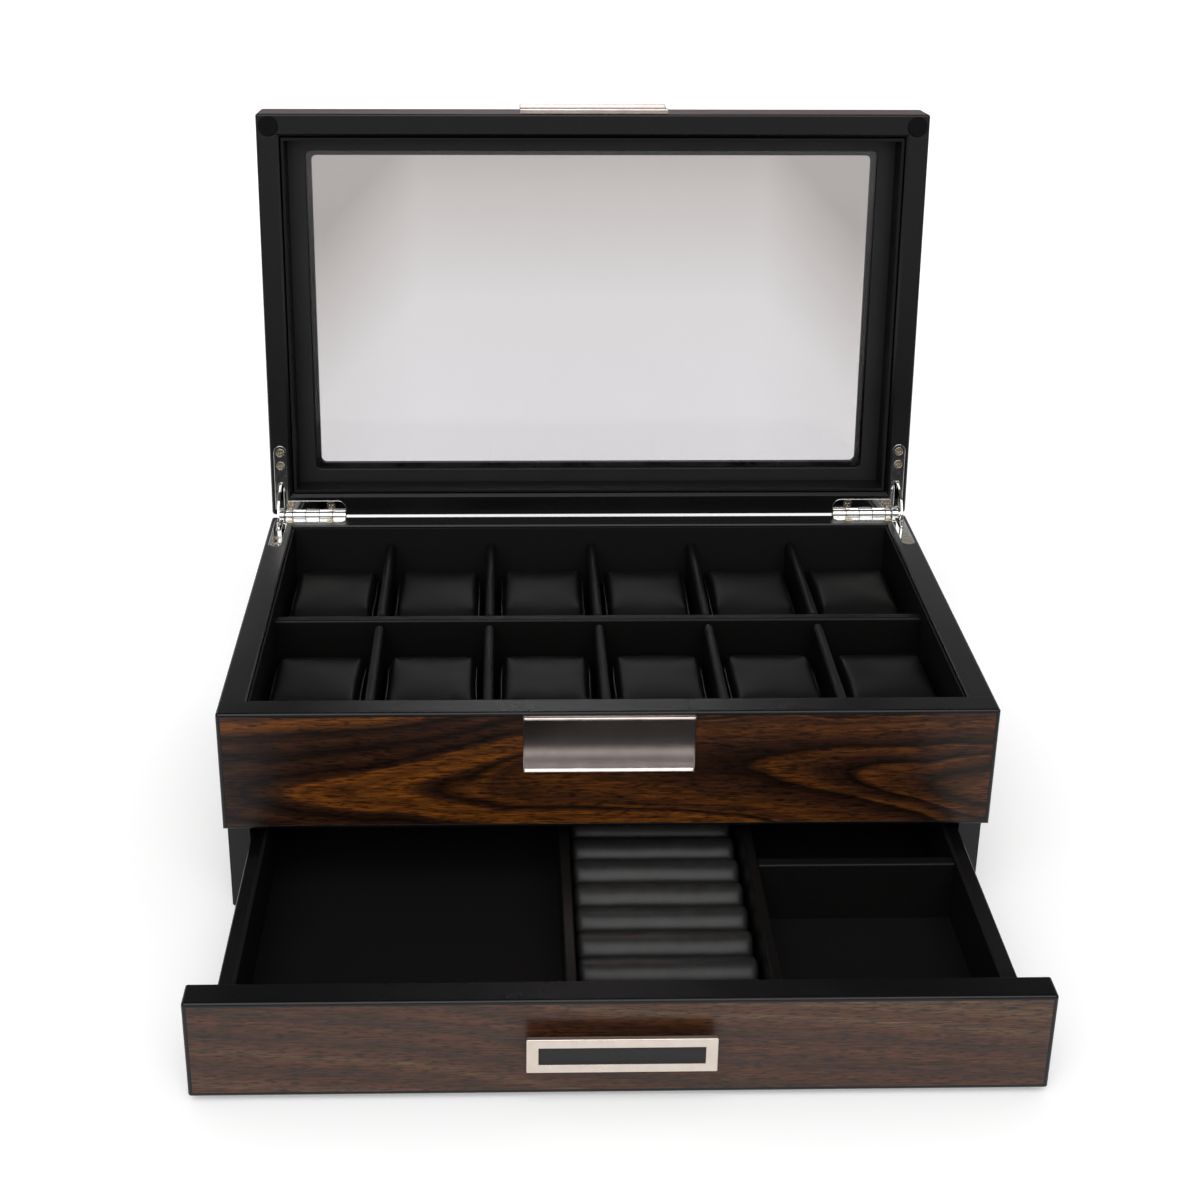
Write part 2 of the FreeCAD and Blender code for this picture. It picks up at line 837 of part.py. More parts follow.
def top_strip(along, across, turn):
    """A strip of veneer on the lid's top, mitred at both ends. Each pair gives the
    half length of the lid and of the window in one direction."""
    strip = doc.addObject("Part::Wedge", "strip")
    outer, inner = f"({along[0]} - border)", f"({along[1]} + border)"
    bind(
        strip,
        Xmin=f"-{outer}",
        Xmax=outer,
        X2min=f"-{inner}",
        X2max=inner,
        Ymin=f"border - {across[0]}",
        Ymax=f"-({across[1]} + border)",
        Zmin=f"{lid_top} - veneer",
        Zmax=lid_top,
        Z2min=f"{lid_top} - veneer",
        Z2max=lid_top,
    )
    return cut(turned(strip, (0, 0, 1), turn), strip_window)


lid_x = (side_x, window_x)
lid_y = (back_y, window_y)
top_strips = [
    top_strip(lid_x, lid_y, 0),
    top_strip(lid_y, lid_x, 90),
    top_strip(lid_x, lid_y, 180),
    top_strip(lid_y, lid_x, 270),
]
top_sheet = fuse(*top_strips)
upright = (f"{lid_bottom} + border", f"{lid_top} - border")
lid_front_sheet = box(
    (f"-{side_x} + border", f"{side_x} - border"), (front_y, f"{front_y} + veneer"), upright
)
lid_side_sheet = box(
    (f"-{side_x}", f"-{side_x} + veneer"), (f"{front_y} + border", f"{back_y} - border"), upright
)
lid_sheets = [top_sheet, lid_front_sheet, lid_side_sheet, mirrored(lid_side_sheet)]
on_lid("lid_veneers", *top_strips, lid_front_sheet, both(lid_side_sheet))


def bumper_bar(z):
    place_x, place_y = f"-{side_x} + bumper_edge", f"{front_y} + bumper_edge"
    return cylinder("bumper_radius", f"({z[1]}) - ({z[0]})", (place_x, place_y, z[0]))


bumper_top = f"{lid_bottom} + bumper_sink"
bumper = rounded(bumper_bar((f"{lid_bottom} - bumper_proud", bumper_top)), "bumper_round", "bottom")
bumper_hole = bumper_bar((f"{lid_bottom} - overrun", bumper_top))
on_lid("lid_bumpers", both(bumper))

lid_front = rounded(
    rounded(
        box((f"-{side_x}", side_x), (front_y, f"-{lid_inner_y}"), (lid_bottom, lid_top)),
        "lid_round",
        "top front",
        "top left",
        "top right",
    ),
    "edge_round",
    "front left",
    "front right",
    "bottom front",
    "bottom left",
    "bottom right",
)
on_lid(
    "lid_front_wall",
    cut(lid_front, *lid_sheets, both(bumper_hole), lid_bevel),
)

lid_side = box(
    (f"-{side_x}", f"-{lid_inner_x}"), (f"-{lid_inner_y}", back_y), (lid_bottom, lid_top)
)
lid_side = rounded(lid_side, "lid_round", "top left", "top back", "left back")
lid_side = rounded(lid_side, "edge_round", "bottom left")
lid_side = cut(lid_side, lid_side_sheet, top_sheet, lid_pocket, lid_bevel, *lid_room)
on_lid("lid_left_wall", lid_side)
on_lid("lid_right_wall", mirrored(lid_side))

lid_back = box((f"-{lid_inner_x}", lid_inner_x), (lid_inner_y, back_y), (lid_bottom, lid_top))
lid_back = rounded(lid_back, "lid_round", "top back")
on_lid(
    "lid_back_wall",
    cut(lid_back, top_sheet, lid_bevel, *lid_room, *[mirrored(tool) for tool in lid_room]),
)

lid_hole = ((f"-{lid_inner_x}", lid_inner_x), (f"-{lid_inner_y}", lid_inner_y))
pane = window_block("glass_lap", (glass_z, f"{glass_z} + glass"))
opening = window_block("0", (f"{glass_z} - overrun", f"{lid_top} + overrun"))
on_lid("lid_top_frame", cut(box(*lid_hole, (glass_z, lid_top)), pane, opening, top_sheet))
on_lid("lid_glass", pane)
retainer_hole = window_block("retainer_step", (f"{retainer_z} - overrun", f"{glass_z} + overrun"))
on_lid("glass_retainer", cut(box(*lid_hole, (retainer_z, glass_z)), retainer_hole))
recess = (f"{lid_bottom} + lining_drop", retainer_z)
on_lid("lid_lining", *wall_boards(*lid_hole, recess, "lid_lining", "lid_lining_gap"))


# Drawer, laid out shut

drawer_sheet = box(
    (f"-{side_x} + border", f"{side_x} - border"),
    (front_y, f"{front_y} + veneer"),
    (f"{front_board_low} + border", f"{front_board_top} - border"),
)
drawer_board = rounded(
    box((f"-{side_x}", side_x), (front_y, drawer_front_y), (front_board_low, front_board_top)),
    "edge_round",
    "front left",
    "front right",
    "front top",
    "front bottom",
    "top left",
    "top right",
    "bottom left",
    "bottom right",
)
drawer_floor = box(
    (f"-{drawer_inner_x} - groove", f"{drawer_inner_x} + groove"),
    (f"{drawer_front_y} - groove", drawer_back_y),
    (drawer_floor_z, drawer_floor_top),
)
on_drawer("drawer_front", cut(drawer_board, drawer_sheet, drawer_floor))
on_drawer("drawer_veneer", drawer_sheet)
on_drawer("drawer_bottom", drawer_floor)

drawer_board_left = box(
    (f"-{drawer_x}", f"-{drawer_inner_x}"),
    (drawer_front_y, drawer_back_y),
    (drawer_low, drawer_top),
)
drawer_side = cut(rounded(drawer_board_left, "divider_round", "top left"), drawer_floor)
on_drawer("drawer_left_side", drawer_side)
on_drawer("drawer_right_side", mirrored(drawer_side))
on_drawer(
    "drawer_back",
    box(
        (f"-{drawer_inner_x}", drawer_inner_x),
        (drawer_inner_back, drawer_back_y),
        (drawer_floor_top, f"{ceiling} - stop_height + stop_catch"),
    ),
)

drawer_hole = ((f"-{drawer_inner_x}", drawer_inner_x), (drawer_front_y, drawer_inner_back))
on_drawer(
    "drawer_lining",
    floor_sheet(*drawer_hole, drawer_floor_top, "floor_lining"),
    *wall_boards(*drawer_hole, (drawer_seat, drawer_top), "drawer_lining"),
)

divider_z = (drawer_seat, f"{drawer_top} - divider_drop")


def long_divider(x):
    board = box((x, f"{x} + long_divider"), (drawer_bay_front, drawer_bay_back), divider_z)
    return rounded(board, "divider_round", "top left", "top right")


on_drawer("left_divider", long_divider("(ring_bay_left - long_divider)"))
on_drawer("right_divider", long_divider("ring_bay_right"))
cross_front = f"({front_y} + cross_place - cross_divider / 2)"
cross_board = box(
    ("ring_bay_right + long_divider", f"{drawer_inner_x} - drawer_lining"),
    (cross_front, f"{cross_front} + cross_divider"),
    divider_z,
)
on_drawer("cross_divider", rounded(cross_board, "divider_round", "top front", "top back"))

roll = cushion(
    roll_outline,
    value("ring_bay_right - ring_bay_left - 2 * roll_clear"),
    value("roll_shoulder"),
    value("roll_draw"),
    value("roll_crown"),
)
roll_x = "(ring_bay_left + ring_bay_right) / 2"
rolls = [
    copy(roll, roll_x, f"{first_roll} + {number} * {roll_pitch}", drawer_seat)
    for number in range(int(value("ring_rolls")))
]
on_drawer("ring_rolls", *rolls)


# Handle: a plate on two posts, with an inlay sunk in its face

handle_face = f"({front_y} - handle_stand)"
handle_z = f"(({front_board_top} + {front_board_low}) / 2 + handle_rise)"


def handle_block(end, edge, y):
    """A block as large as the handle's plate, less a margin at its ends and edges."""
    across = f"(handle_width / 2 - {end})"
    rise = f"(handle_height / 2 - {edge})"
    return box((f"-{across}", across), y, (f"{handle_z} - {rise}", f"{handle_z} + {rise}"))


handle_plate = rounded(
    handle_block("0", "0", (handle_face, f"{handle_face} + handle_plate")),
    "handle_round",
    "front left",
    "front right",
    "front top",
    "front bottom",
    "top left",
    "top right",
    "bottom left",
    "bottom right",
)
inlay_back = f"{handle_face} + inlay_sink + inlay"
inlay_room = handle_block("handle_end", "handle_edge", (f"{handle_face} - overrun", inlay_back))
inlay_y = (f"{handle_face} + inlay_sink", inlay_back)
on_drawer("handle_frame", cut(handle_plate, inlay_room))
on_drawer("handle_inlay", handle_block("handle_end", "handle_edge", inlay_y))

post_start = ("post_edge - handle_width / 2", f"{handle_face} + handle_plate", handle_z)
post = cylinder("post_radius", "handle_stand - handle_plate", post_start, "y")
on_drawer("handle_posts", both(post))


# Every object is checked before anything is written.
doc.recompute()
faults = [item.Label for item in doc.Objects if {"Invalid", "Error"} & set(item.State)]
faults += [label for label, node in nodes.items() if node.Shape.isNull()]
faults += [label for label, node in nodes.items() if not node.Shape.isValid()]
if faults:
    raise RuntimeError("faulty: " + ", ".join(faults))

os.makedirs("parts", exist_ok=True)
for label, node in nodes.items():
    node.Shape.exportStep(f"parts/{label}.step")
print(len(nodes), "pieces written")
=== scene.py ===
import json
import math
import random

import bmesh
import bpy
from mathutils import Matrix, Vector, noise


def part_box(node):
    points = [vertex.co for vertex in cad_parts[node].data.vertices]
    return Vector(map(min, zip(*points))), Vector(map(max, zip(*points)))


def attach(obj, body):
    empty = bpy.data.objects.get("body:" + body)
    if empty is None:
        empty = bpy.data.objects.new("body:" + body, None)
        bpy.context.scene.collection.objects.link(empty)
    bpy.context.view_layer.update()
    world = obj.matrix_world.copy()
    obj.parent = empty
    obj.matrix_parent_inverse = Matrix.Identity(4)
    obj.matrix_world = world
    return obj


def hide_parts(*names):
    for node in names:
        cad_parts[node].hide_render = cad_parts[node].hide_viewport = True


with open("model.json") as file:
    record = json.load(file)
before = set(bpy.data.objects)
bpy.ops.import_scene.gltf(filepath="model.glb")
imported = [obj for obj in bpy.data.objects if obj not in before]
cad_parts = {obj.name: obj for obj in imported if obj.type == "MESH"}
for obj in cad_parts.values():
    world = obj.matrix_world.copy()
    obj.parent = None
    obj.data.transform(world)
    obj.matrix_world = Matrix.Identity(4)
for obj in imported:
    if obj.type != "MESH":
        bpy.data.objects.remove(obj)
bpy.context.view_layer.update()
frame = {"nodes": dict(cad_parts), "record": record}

scene = bpy.context.scene
mm = 0.001

print("frame loaded:", len(frame["nodes"]), "nodes")


# Helpers


# sRGB hex to the linear colour that the shaders take
def linear(hexText):
    shares = [int(hexText[i : i + 2], 16) / 255 for i in (1, 3, 5)]
    return [s / 12.92 if s <= 0.04045 else ((s + 0.055) / 1.055) ** 2.4 for s in shares] + [1]


# adds a node, sets its properties and colour stops, then links or sets its inputs
def addNode(tree, kind, inputs=(), stops=(), **settings):
    node = tree.nodes.new("ShaderNode" + kind)
    for name, setting in settings.items():
        setattr(node, name, setting)
    for place, color in stops:
        node.color_ramp.elements.new(place).color = linear(color)
    for spare in range(2 if stops else 0):  # the ramp's own black and white stops go
        ends = [e for e in node.color_ramp.elements if e.position in (0, 1) and e.color[3] == 1]
        ends = [e for e in ends if tuple(e.color[:3]) in ((0, 0, 0), (1, 1, 1))]
        node.color_ramp.elements.remove(ends[0])
    for socket, value in dict(inputs).items():
        if isinstance(value, bpy.types.NodeSocket):
            tree.links.new(value, node.inputs[socket])
        else:
            node.inputs[socket].default_value = value
    return node


# a material with its tree, its shader and the place on the piece in metres
def newFinish(name):
    finish = bpy.data.materials.new(name)
    finish.use_nodes = True
    tree = finish.node_tree
    place = addNode(tree, "TexCoord").outputs["Object"]
    return finish, tree, tree.nodes["Principled BSDF"], place


# sets shader sockets: a plain value stays on the socket, a node's output is linked
def setShader(tree, shader, inputs):
    for socket, value in inputs.items():
        if isinstance(value, bpy.types.NodeSocket):
            tree.links.new(value, shader.inputs[socket])
        else:
            shader.inputs[socket].default_value = value


# Finishes

lacquerLook = {
    "paint": "#070708",
    "haze": "#0c0c0d",
    "smooth": 0.24,
    "dull": 0.32,
    "peel": 1.1 * mm,  # width of one dimple of orange peel
    "cloud": 60 * mm,
    "edge": 0.3 * mm,  # radius of the rounded arrises
}


# Sprayed polyester lacquer, rubbed to satin: near black, soft reflections, softly rounded arrises
def satinLacquer():
    look = lacquerLook
    finish, tree, shader, place = newFinish("satin_black_lacquer")
    cloud = addNode(tree, "TexNoise", {"Vector": place, "Scale": 1 / look["cloud"], "Detail": 4})
    tint = addNode(
        tree,
        "ValToRGB",
        {"Fac": cloud.outputs["Fac"]},
        stops=[(0.35, look["paint"]), (0.7, look["haze"])],
    )
    rough = addNode(
        tree,
        "MapRange",
        {"Value": cloud.outputs["Fac"], "From Min": 0.3, "From Max": 0.7,
         "To Min": look["smooth"], "To Max": look["dull"]},
    )
    peel = addNode(tree, "TexNoise", {"Vector": place, "Scale": 1 / look["peel"], "Detail": 2})
    edge = addNode(tree, "Bevel", {"Radius": look["edge"]}, samples=6)
    bump = addNode(
        tree,
        "Bump",
        {"Height": peel.outputs["Fac"], "Normal": edge.outputs["Normal"],
         "Strength": 0.12, "Distance": 0.02 * mm},
    )
    setShader(
        tree,
        shader,
        {"Base Color": tint.outputs["Color"], "Roughness": rough.outputs["Result"],
         "Normal": bump.outputs["Normal"], "IOR": 1.5, "Specular IOR Level": 0.4},
    )
    return finish


walnut = {
    "dark": "#170a04",
    "dull": "#2d190e",
    "mid": "#3b2010",
    "pale": "#44301e",
    "light": "#57300f",
    "glow": "#703e10",
    "fibre": (90, 120, 1500),  # how many turns per metre along, through and across the grain
    "pores": (200, 400, 1700),
    "poreShade": 0.32,  # how much of the light a pore gives back
    "poreDepth": 0.03 * mm,
}


# Walnut veneer under satin lacquer: light and dark growth rings drawn into a figure, broken by
# fine fibres and by short dark pores. levelOf gives each place its ring, counted in metres.
def walnutVeneer(name, figure, placeOf, levelOf):
    finish, tree, shader, place = newFinish(name)
    grain = placeOf(tree, place)
    start = addNode(tree, "Mapping", {"Vector": grain, "Location": figure["start"],
                                      "Scale": figure["driftScale"]})
    drift = addNode(
        tree, "TexNoise", {"Vector": start.outputs["Vector"], "Scale": 1.0, "Detail": 2, "Roughness": 0.45}
    )
    centred = addNode(
        tree, "VectorMath", {0: drift.outputs["Color"], 1: (0.5, 0.5, 0.5)}, operation="SUBTRACT"
    )
    drifted = addNode(
        tree, "VectorMath", {0: centred.outputs["Vector"], 1: figure["drift"], 2: grain},
        operation="MULTIPLY_ADD",
    )
    level = levelOf(tree, drifted.outputs["Vector"])
    first, last = figure["rings"][0][0] * mm, figure["rings"][-1][0] * mm
    ringPlace = addNode(tree, "MapRange", {"Value": level, "From Min": first, "From Max": last})
    wood = addNode(
        tree,
        "ValToRGB",
        {"Fac": ringPlace.outputs[0]},
        stops=[((ring * mm - first) / (last - first), walnut[tone]) for ring, tone in figure["rings"]],
    )
    fineRings = addNode(
        tree,
        "TexNoise",
        {"W": level, "Scale": figure["fineRings"], "Detail": 3, "Roughness": 0.6},
        noise_dimensions="1D",
    )
    streakPlace = addNode(
        tree, "Mapping", {"Vector": drifted.outputs["Vector"], "Scale": figure["streak"]}
    )
    streak = addNode(
        tree,
        "TexNoise",
        {"Vector": streakPlace.outputs["Vector"], "Scale": 1.0, "Detail": 4, "Roughness": 0.6},
    )
    both = addNode(
        tree, "Mix", {0: 0.6, 2: fineRings.outputs["Fac"], 3: streak.outputs["Fac"]}, data_type="FLOAT"
    )
    shade = addNode(
        tree,
        "MapRange",
        {"Value": both.outputs[0], "From Min": 0.36, "From Max": 0.64,
         "To Min": 1 - figure["contrast"], "To Max": 1 + figure["contrast"]},
    )
    fibrePlace = addNode(tree, "Mapping", {"Vector": grain, "Scale": walnut["fibre"]})
    fibre = addNode(tree, "TexNoise", {"Vector": fibrePlace.outputs["Vector"], "Scale": 1.0, "Detail": 2})
    fine = addNode(
        tree,
        "MapRange",
        {"Value": fibre.outputs["Fac"], "From Min": 0.3, "From Max": 0.7, "To Min": 0.5, "To Max": 1.4},
    )
    porePlace = addNode(tree, "Mapping", {"Vector": grain, "Scale": walnut["pores"]})
    pores = addNode(tree, "TexNoise", {"Vector": porePlace.outputs["Vector"], "Scale": 1.0, "Detail": 1})
    closed = addNode(
        tree,
        "MapRange",
        {"Value": pores.outputs["Fac"], "From Min": 0.36, "From Max": 0.47,
         "To Min": walnut["poreShade"], "To Max": 1.0},
    )
    light = shade
    for factor in (fine.outputs[0], closed.outputs[0], figure["brightness"]):
        light = addNode(tree, "Math", {0: light.outputs[0], 1: factor}, operation="MULTIPLY")
    color = addNode(
        tree, "VectorMath", {0: wood.outputs["Color"], "Scale": light.outputs[0]}, operation="SCALE"
    )
    bump = addNode(
        tree, "Bump", {"Height": closed.outputs[0], "Strength": 0.2, "Distance": walnut["poreDepth"]}
    )
    rough = addNode(
        tree,
        "MapRange",
        {"Value": fibre.outputs["Fac"], "From Min": 0.3, "From Max": 0.7, "To Min": 0.38, "To Max": 0.28},
    )
    setShader(
        tree,
        shader,
        {"Base Color": color.outputs["Vector"], "Roughness": rough.outputs[0],
         "Normal": bump.outputs["Normal"], "IOR": 1.5, "Specular IOR Level": figure["gloss"]},
    )
    return finish


crownShape = {
    "waveTurn": 20.9,  # radians per metre along the grain
    "waveStart": 0.73,
    "waveHeight": 6.5 * mm,
    "middle": 74.5 * mm,  # height of the middle line
    "blunt": 9 * mm,  # how round the points are
    "bend": 0.75,
    "narrow": 38.0,  # how fast a ring falls back from its point
    "ahead": 18 * mm,
}


# nested points that open to the right, round a middle line that wanders up and down
def crownLevel(tree, grain):
    shape = crownShape
    axes = addNode(tree, "SeparateXYZ", {"Vector": grain})
    phase = addNode(
        tree, "Math", {0: axes.outputs["X"], 1: shape["waveTurn"], 2: shape["waveStart"]},
        operation="MULTIPLY_ADD",
    )
    wave = addNode(tree, "Math", {0: phase.outputs[0]}, operation="SINE")
    middle = addNode(
        tree, "Math", {0: wave.outputs[0], 1: shape["waveHeight"], 2: shape["middle"]},
        operation="MULTIPLY_ADD",
    )
    off = addNode(tree, "Math", {0: axes.outputs["Z"], 1: middle.outputs[0]}, operation="SUBTRACT")
    square = addNode(
        tree, "Math", {0: off.outputs[0], 1: off.outputs[0], 2: shape["blunt"] ** 2},
        operation="MULTIPLY_ADD",
    )
    bent = addNode(tree, "Math", {0: square.outputs[0], 1: shape["bend"]}, operation="POWER")
    ahead = addNode(tree, "Math", {0: axes.outputs["X"], 1: shape["ahead"]}, operation="ADD")
    level = addNode(
        tree, "Math", {0: bent.outputs[0], 1: -shape["narrow"], 2: ahead.outputs[0]},
        operation="MULTIPLY_ADD",
    )
    return level.outputs[0]


straightShape = {
    "slope": 0.07,
    "drop": 10 * mm,
    "dropFrom": -100 * mm,  # the drop runs from here to the middle of the box
}


# nearly level lines that fall a little to the right and drop once, left of the middle
def straightLevel(tree, grain):
    axes = addNode(tree, "SeparateXYZ", {"Vector": grain})
    slope = addNode(
        tree, "Math", {0: axes.outputs["X"], 1: straightShape["slope"], 2: axes.outputs["Z"]},
        operation="MULTIPLY_ADD",
    )
    drop = addNode(
        tree,
        "MapRange",
        {"Value": axes.outputs["X"], "From Min": straightShape["dropFrom"], "From Max": 0.0,
         "To Min": 0.0, "To Max": straightShape["drop"]},
        interpolation_type="SMOOTHSTEP",
    )
    level = addNode(tree, "Math", {0: slope.outputs[0], 1: drop.outputs[0]}, operation="ADD")
    return level.outputs[0]


# the front faces: grain runs left to right, the place is already right
def placeOnFront(tree, place):
    return place


# the sides of the case: grain runs front to back, so Y is turned into X
def placeOnSide(tree, place):
    axes = addNode(tree, "SeparateXYZ", {"Vector": place})
    turned = addNode(
        tree,
        "CombineXYZ",
        {"X": axes.outputs["Y"], "Y": axes.outputs["X"], "Z": axes.outputs["Z"]},
    )
    return turned.outputs["Vector"]


lidMitre = {
    "middle": 214.5 * mm,  # height of the open lid's middle
    "longer": 64 * mm,  # half of what the lid is longer than it is deep
}


# the lid stands open at rest: front and back strips have their grain left to right, the side
# strips and side sheets have it up and down, and they meet in mitres. Adding Y carries the grain
# round the edges.
def placeOnLid(tree, place):
    axes = addNode(tree, "SeparateXYZ", {"Vector": place})
    upright = addNode(tree, "Math", {0: axes.outputs["Z"], 1: lidMitre["middle"]}, operation="SUBTRACT")
    fromMiddle = addNode(tree, "Math", {0: upright.outputs[0]}, operation="ABSOLUTE")
    reach = addNode(tree, "Math", {0: fromMiddle.outputs[0], 1: lidMitre["longer"]}, operation="ADD")
    sideways = addNode(tree, "Math", {0: axes.outputs["X"]}, operation="ABSOLUTE")
    onSide = addNode(
        tree, "Math", {0: sideways.outputs[0], 1: reach.outputs[0]}, operation="GREATER_THAN"
    )
    roundSide = addNode(
        tree, "Math", {0: axes.outputs["X"], 1: axes.outputs["Y"]}, operation="ADD"
    )
    roundEnd = addNode(
        tree, "Math", {0: axes.outputs["Z"], 1: axes.outputs["Y"]}, operation="ADD"
    )
    across = addNode(
        tree, "CombineXYZ",
        {"X": axes.outputs["Z"], "Y": axes.outputs["Y"], "Z": roundSide.outputs[0]},
    )
    along = addNode(
        tree, "CombineXYZ",
        {"X": axes.outputs["X"], "Y": axes.outputs["Y"], "Z": roundEnd.outputs[0]},
    )
    mixed = addNode(
        tree,
        "Mix",
        {0: onSide.outputs[0], 4: along.outputs["Vector"], 5: across.outputs["Vector"]},
        data_type="VECTOR",
    )
    return mixed.outputs[1]


# each ring's place in millimetres of level, with its tone
crownFigure = {
    "rings": [
        (-400, "mid"), (-366, "glow"), (-335, "light"), (-310, "dark"), (-270, "mid"), (-235, "dark"),
        (-200, "mid"), (-172, "dark"), (-152, "mid"), (-144, "glow"), (-120, "light"), (-104, "glow"),
        (-94, "mid"), (-87, "dark"), (-78, "light"), (-66, "mid"), (-38, "light"), (10, "mid"),
        (46, "dark"), (54, "light"), (74, "mid"), (90, "dark"), (99, "light"), (124, "dark"),
        (142, "light"), (170, "mid"),
    ],
    "start": (0.31, 0.0, 0.12),
    "driftScale": (16, 9, 38),
    "drift": (0.05, 0.0, 0.012),
    "fineRings": 160,
    "streak": (30, 9, 520),
    "contrast": 0.4,
    "brightness": 0.85,
    "gloss": 0.32,
}
straightFigure = {
    **crownFigure,
    "rings": [
        (-14, "mid"), (-4, "mid"), (-1.5, "pale"), (1, "mid"), (5, "dull"), (10.5, "mid"),
        (12.5, "pale"), (14.5, "mid"), (20, "dull"), (26, "mid"), (31, "dull"), (38, "mid"), (44, "dull"),
        (49, "mid"), (52.5, "pale"), (55, "mid"), (62, "pale"), (72, "mid"),
    ],
    "driftScale": (9, 5, 14),
    "drift": (0.0, 0.0, 0.008),
    "fineRings": 420,
    "streak": (22, 9, 700),
    "contrast": 0.26,
    "brightness": 1.5,
    "gloss": 0.5,
}
sideFigure = {**crownFigure, "start": (0.7, 0.0, 0.4)}
lidFigure = {
    **straightFigure,
    "gloss": 0.3,
    "rings": [(-400, "mid"), (-150, "light"), (-120, "dark"), (-60, "mid"), (40, "dark"), (90, "light"),
              (150, "dark"), (220, "mid"), (300, "light"), (370, "dark"), (430, "mid"), (480, "mid")],
}

leatherLook = {
    "face": "#0e0d0c",
    "valley": "#070606",
    "pebble": 0.9 * mm,
    "roughness": 0.44,
}


# Polyurethane leatherette with a fine pressed pebble grain: a broad soft highlight
def leatherette():
    look = leatherLook
    finish, tree, shader, place = newFinish("black_leatherette")
    pebbles = addNode(
        tree,
        "TexVoronoi",
        {"Vector": place, "Scale": 1 / look["pebble"], "Randomness": 1.0},
        feature="DISTANCE_TO_EDGE",
    )
    raised = addNode(
        tree,
        "MapRange",
        {"Value": pebbles.outputs["Distance"], "From Min": 0.0, "From Max": 0.25},
    )
    tint = addNode(
        tree,
        "ValToRGB",
        {"Fac": raised.outputs[0]},
        stops=[(0.0, look["valley"]), (0.6, look["face"])],
    )
    edge = addNode(tree, "Bevel", {"Radius": 0.6 * mm}, samples=6)
    bump = addNode(
        tree,
        "Bump",
        {"Height": raised.outputs[0], "Normal": edge.outputs["Normal"],
         "Strength": 0.25, "Distance": 0.05 * mm},
    )
    setShader(
        tree,
        shader,
        {"Base Color": tint.outputs["Color"], "Roughness": look["roughness"],
         "Normal": bump.outputs["Normal"], "IOR": 1.5, "Specular IOR Level": 0.26},
    )
    return finish


# Smooth piping sewn into the pillows' ends: a sharper gloss, and a tint lighter than the leatherette's
# black, which paints in the highlight along the welt
def pipingWithPaintedHighlight():
    finish, tree, shader, place = newFinish("black_piping_painted_highlight")
    cloud = addNode(tree, "TexNoise", {"Vector": place, "Scale": 1 / (2 * mm), "Detail": 3})
    # painted highlight: the piping's tint is lighter than the leatherette it is cut from
    tint = addNode(
        tree, "ValToRGB", {"Fac": cloud.outputs["Fac"]}, stops=[(0.3, "#141312"), (0.7, "#1f1d1c")]
    )
    setShader(tree, shader, {"Base Color": tint.outputs["Color"], "Roughness": 0.3, "IOR": 1.5})
    return finish


liningLook = {
    "pile": "#0d0c0c",
    "tip": "#161414",
    "nap": 0.5 * mm,
}


# Flocked lining on thin board: matt, almost no reflection, a little lighter along the edges
def flockedLining():
    look = liningLook
    finish, tree, shader, place = newFinish("black_flocked_lining")
    nap = addNode(tree, "TexNoise", {"Vector": place, "Scale": 1 / look["nap"], "Detail": 3})
    tint = addNode(
        tree,
        "ValToRGB",
        {"Fac": nap.outputs["Fac"]},
        stops=[(0.35, look["pile"]), (0.65, look["tip"])],
    )
    edge = addNode(tree, "Bevel", {"Radius": 0.7 * mm}, samples=6)
    bump = addNode(
        tree,
        "Bump",
        {"Height": nap.outputs["Fac"], "Normal": edge.outputs["Normal"],
         "Strength": 0.2, "Distance": 0.05 * mm},
    )
    setShader(
        tree,
        shader,
        {"Base Color": tint.outputs["Color"], "Roughness": 0.58, "Normal": bump.outputs["Normal"],
         "Specular IOR Level": 0.2},
    )
    return finish


# Satin foil on the retaining frame under the glass: flat dark grey, faint clouding
def satinFoil():
    finish, tree, shader, place = newFinish("dark_satin_foil")
    cloud = addNode(tree, "TexNoise", {"Vector": place, "Scale": 1 / (25 * mm), "Detail": 4})
    tint = addNode(
        tree, "ValToRGB", {"Fac": cloud.outputs["Fac"]}, stops=[(0.3, "#141415"), (0.7, "#1b1b1c")]
    )
    edge = addNode(tree, "Bevel", {"Radius": 0.6 * mm}, samples=6)
    fine = addNode(tree, "TexNoise", {"Vector": place, "Scale": 1 / (0.7 * mm), "Detail": 2})
    bump = addNode(
        tree,
        "Bump",
        {"Height": fine.outputs["Fac"], "Normal": edge.outputs["Normal"],
         "Strength": 0.1, "Distance": 0.03 * mm},
    )
    setShader(
        tree,
        shader,
        {"Base Color": tint.outputs["Color"], "Roughness": 0.42, "Normal": bump.outputs["Normal"]},
    )
    return finish


sateenLook = {
    "thread": 1.2 * mm,
    "cloud": 6 * mm,
    "worn": (22 * mm, 29 * mm),  # heights over which the painted shade between the rolls gives way to the cloth's own tint
    # painted shade: share of the cloth's tint kept at the foot of that span and at its top
    "wornShare": (0.4, 0.95),
}
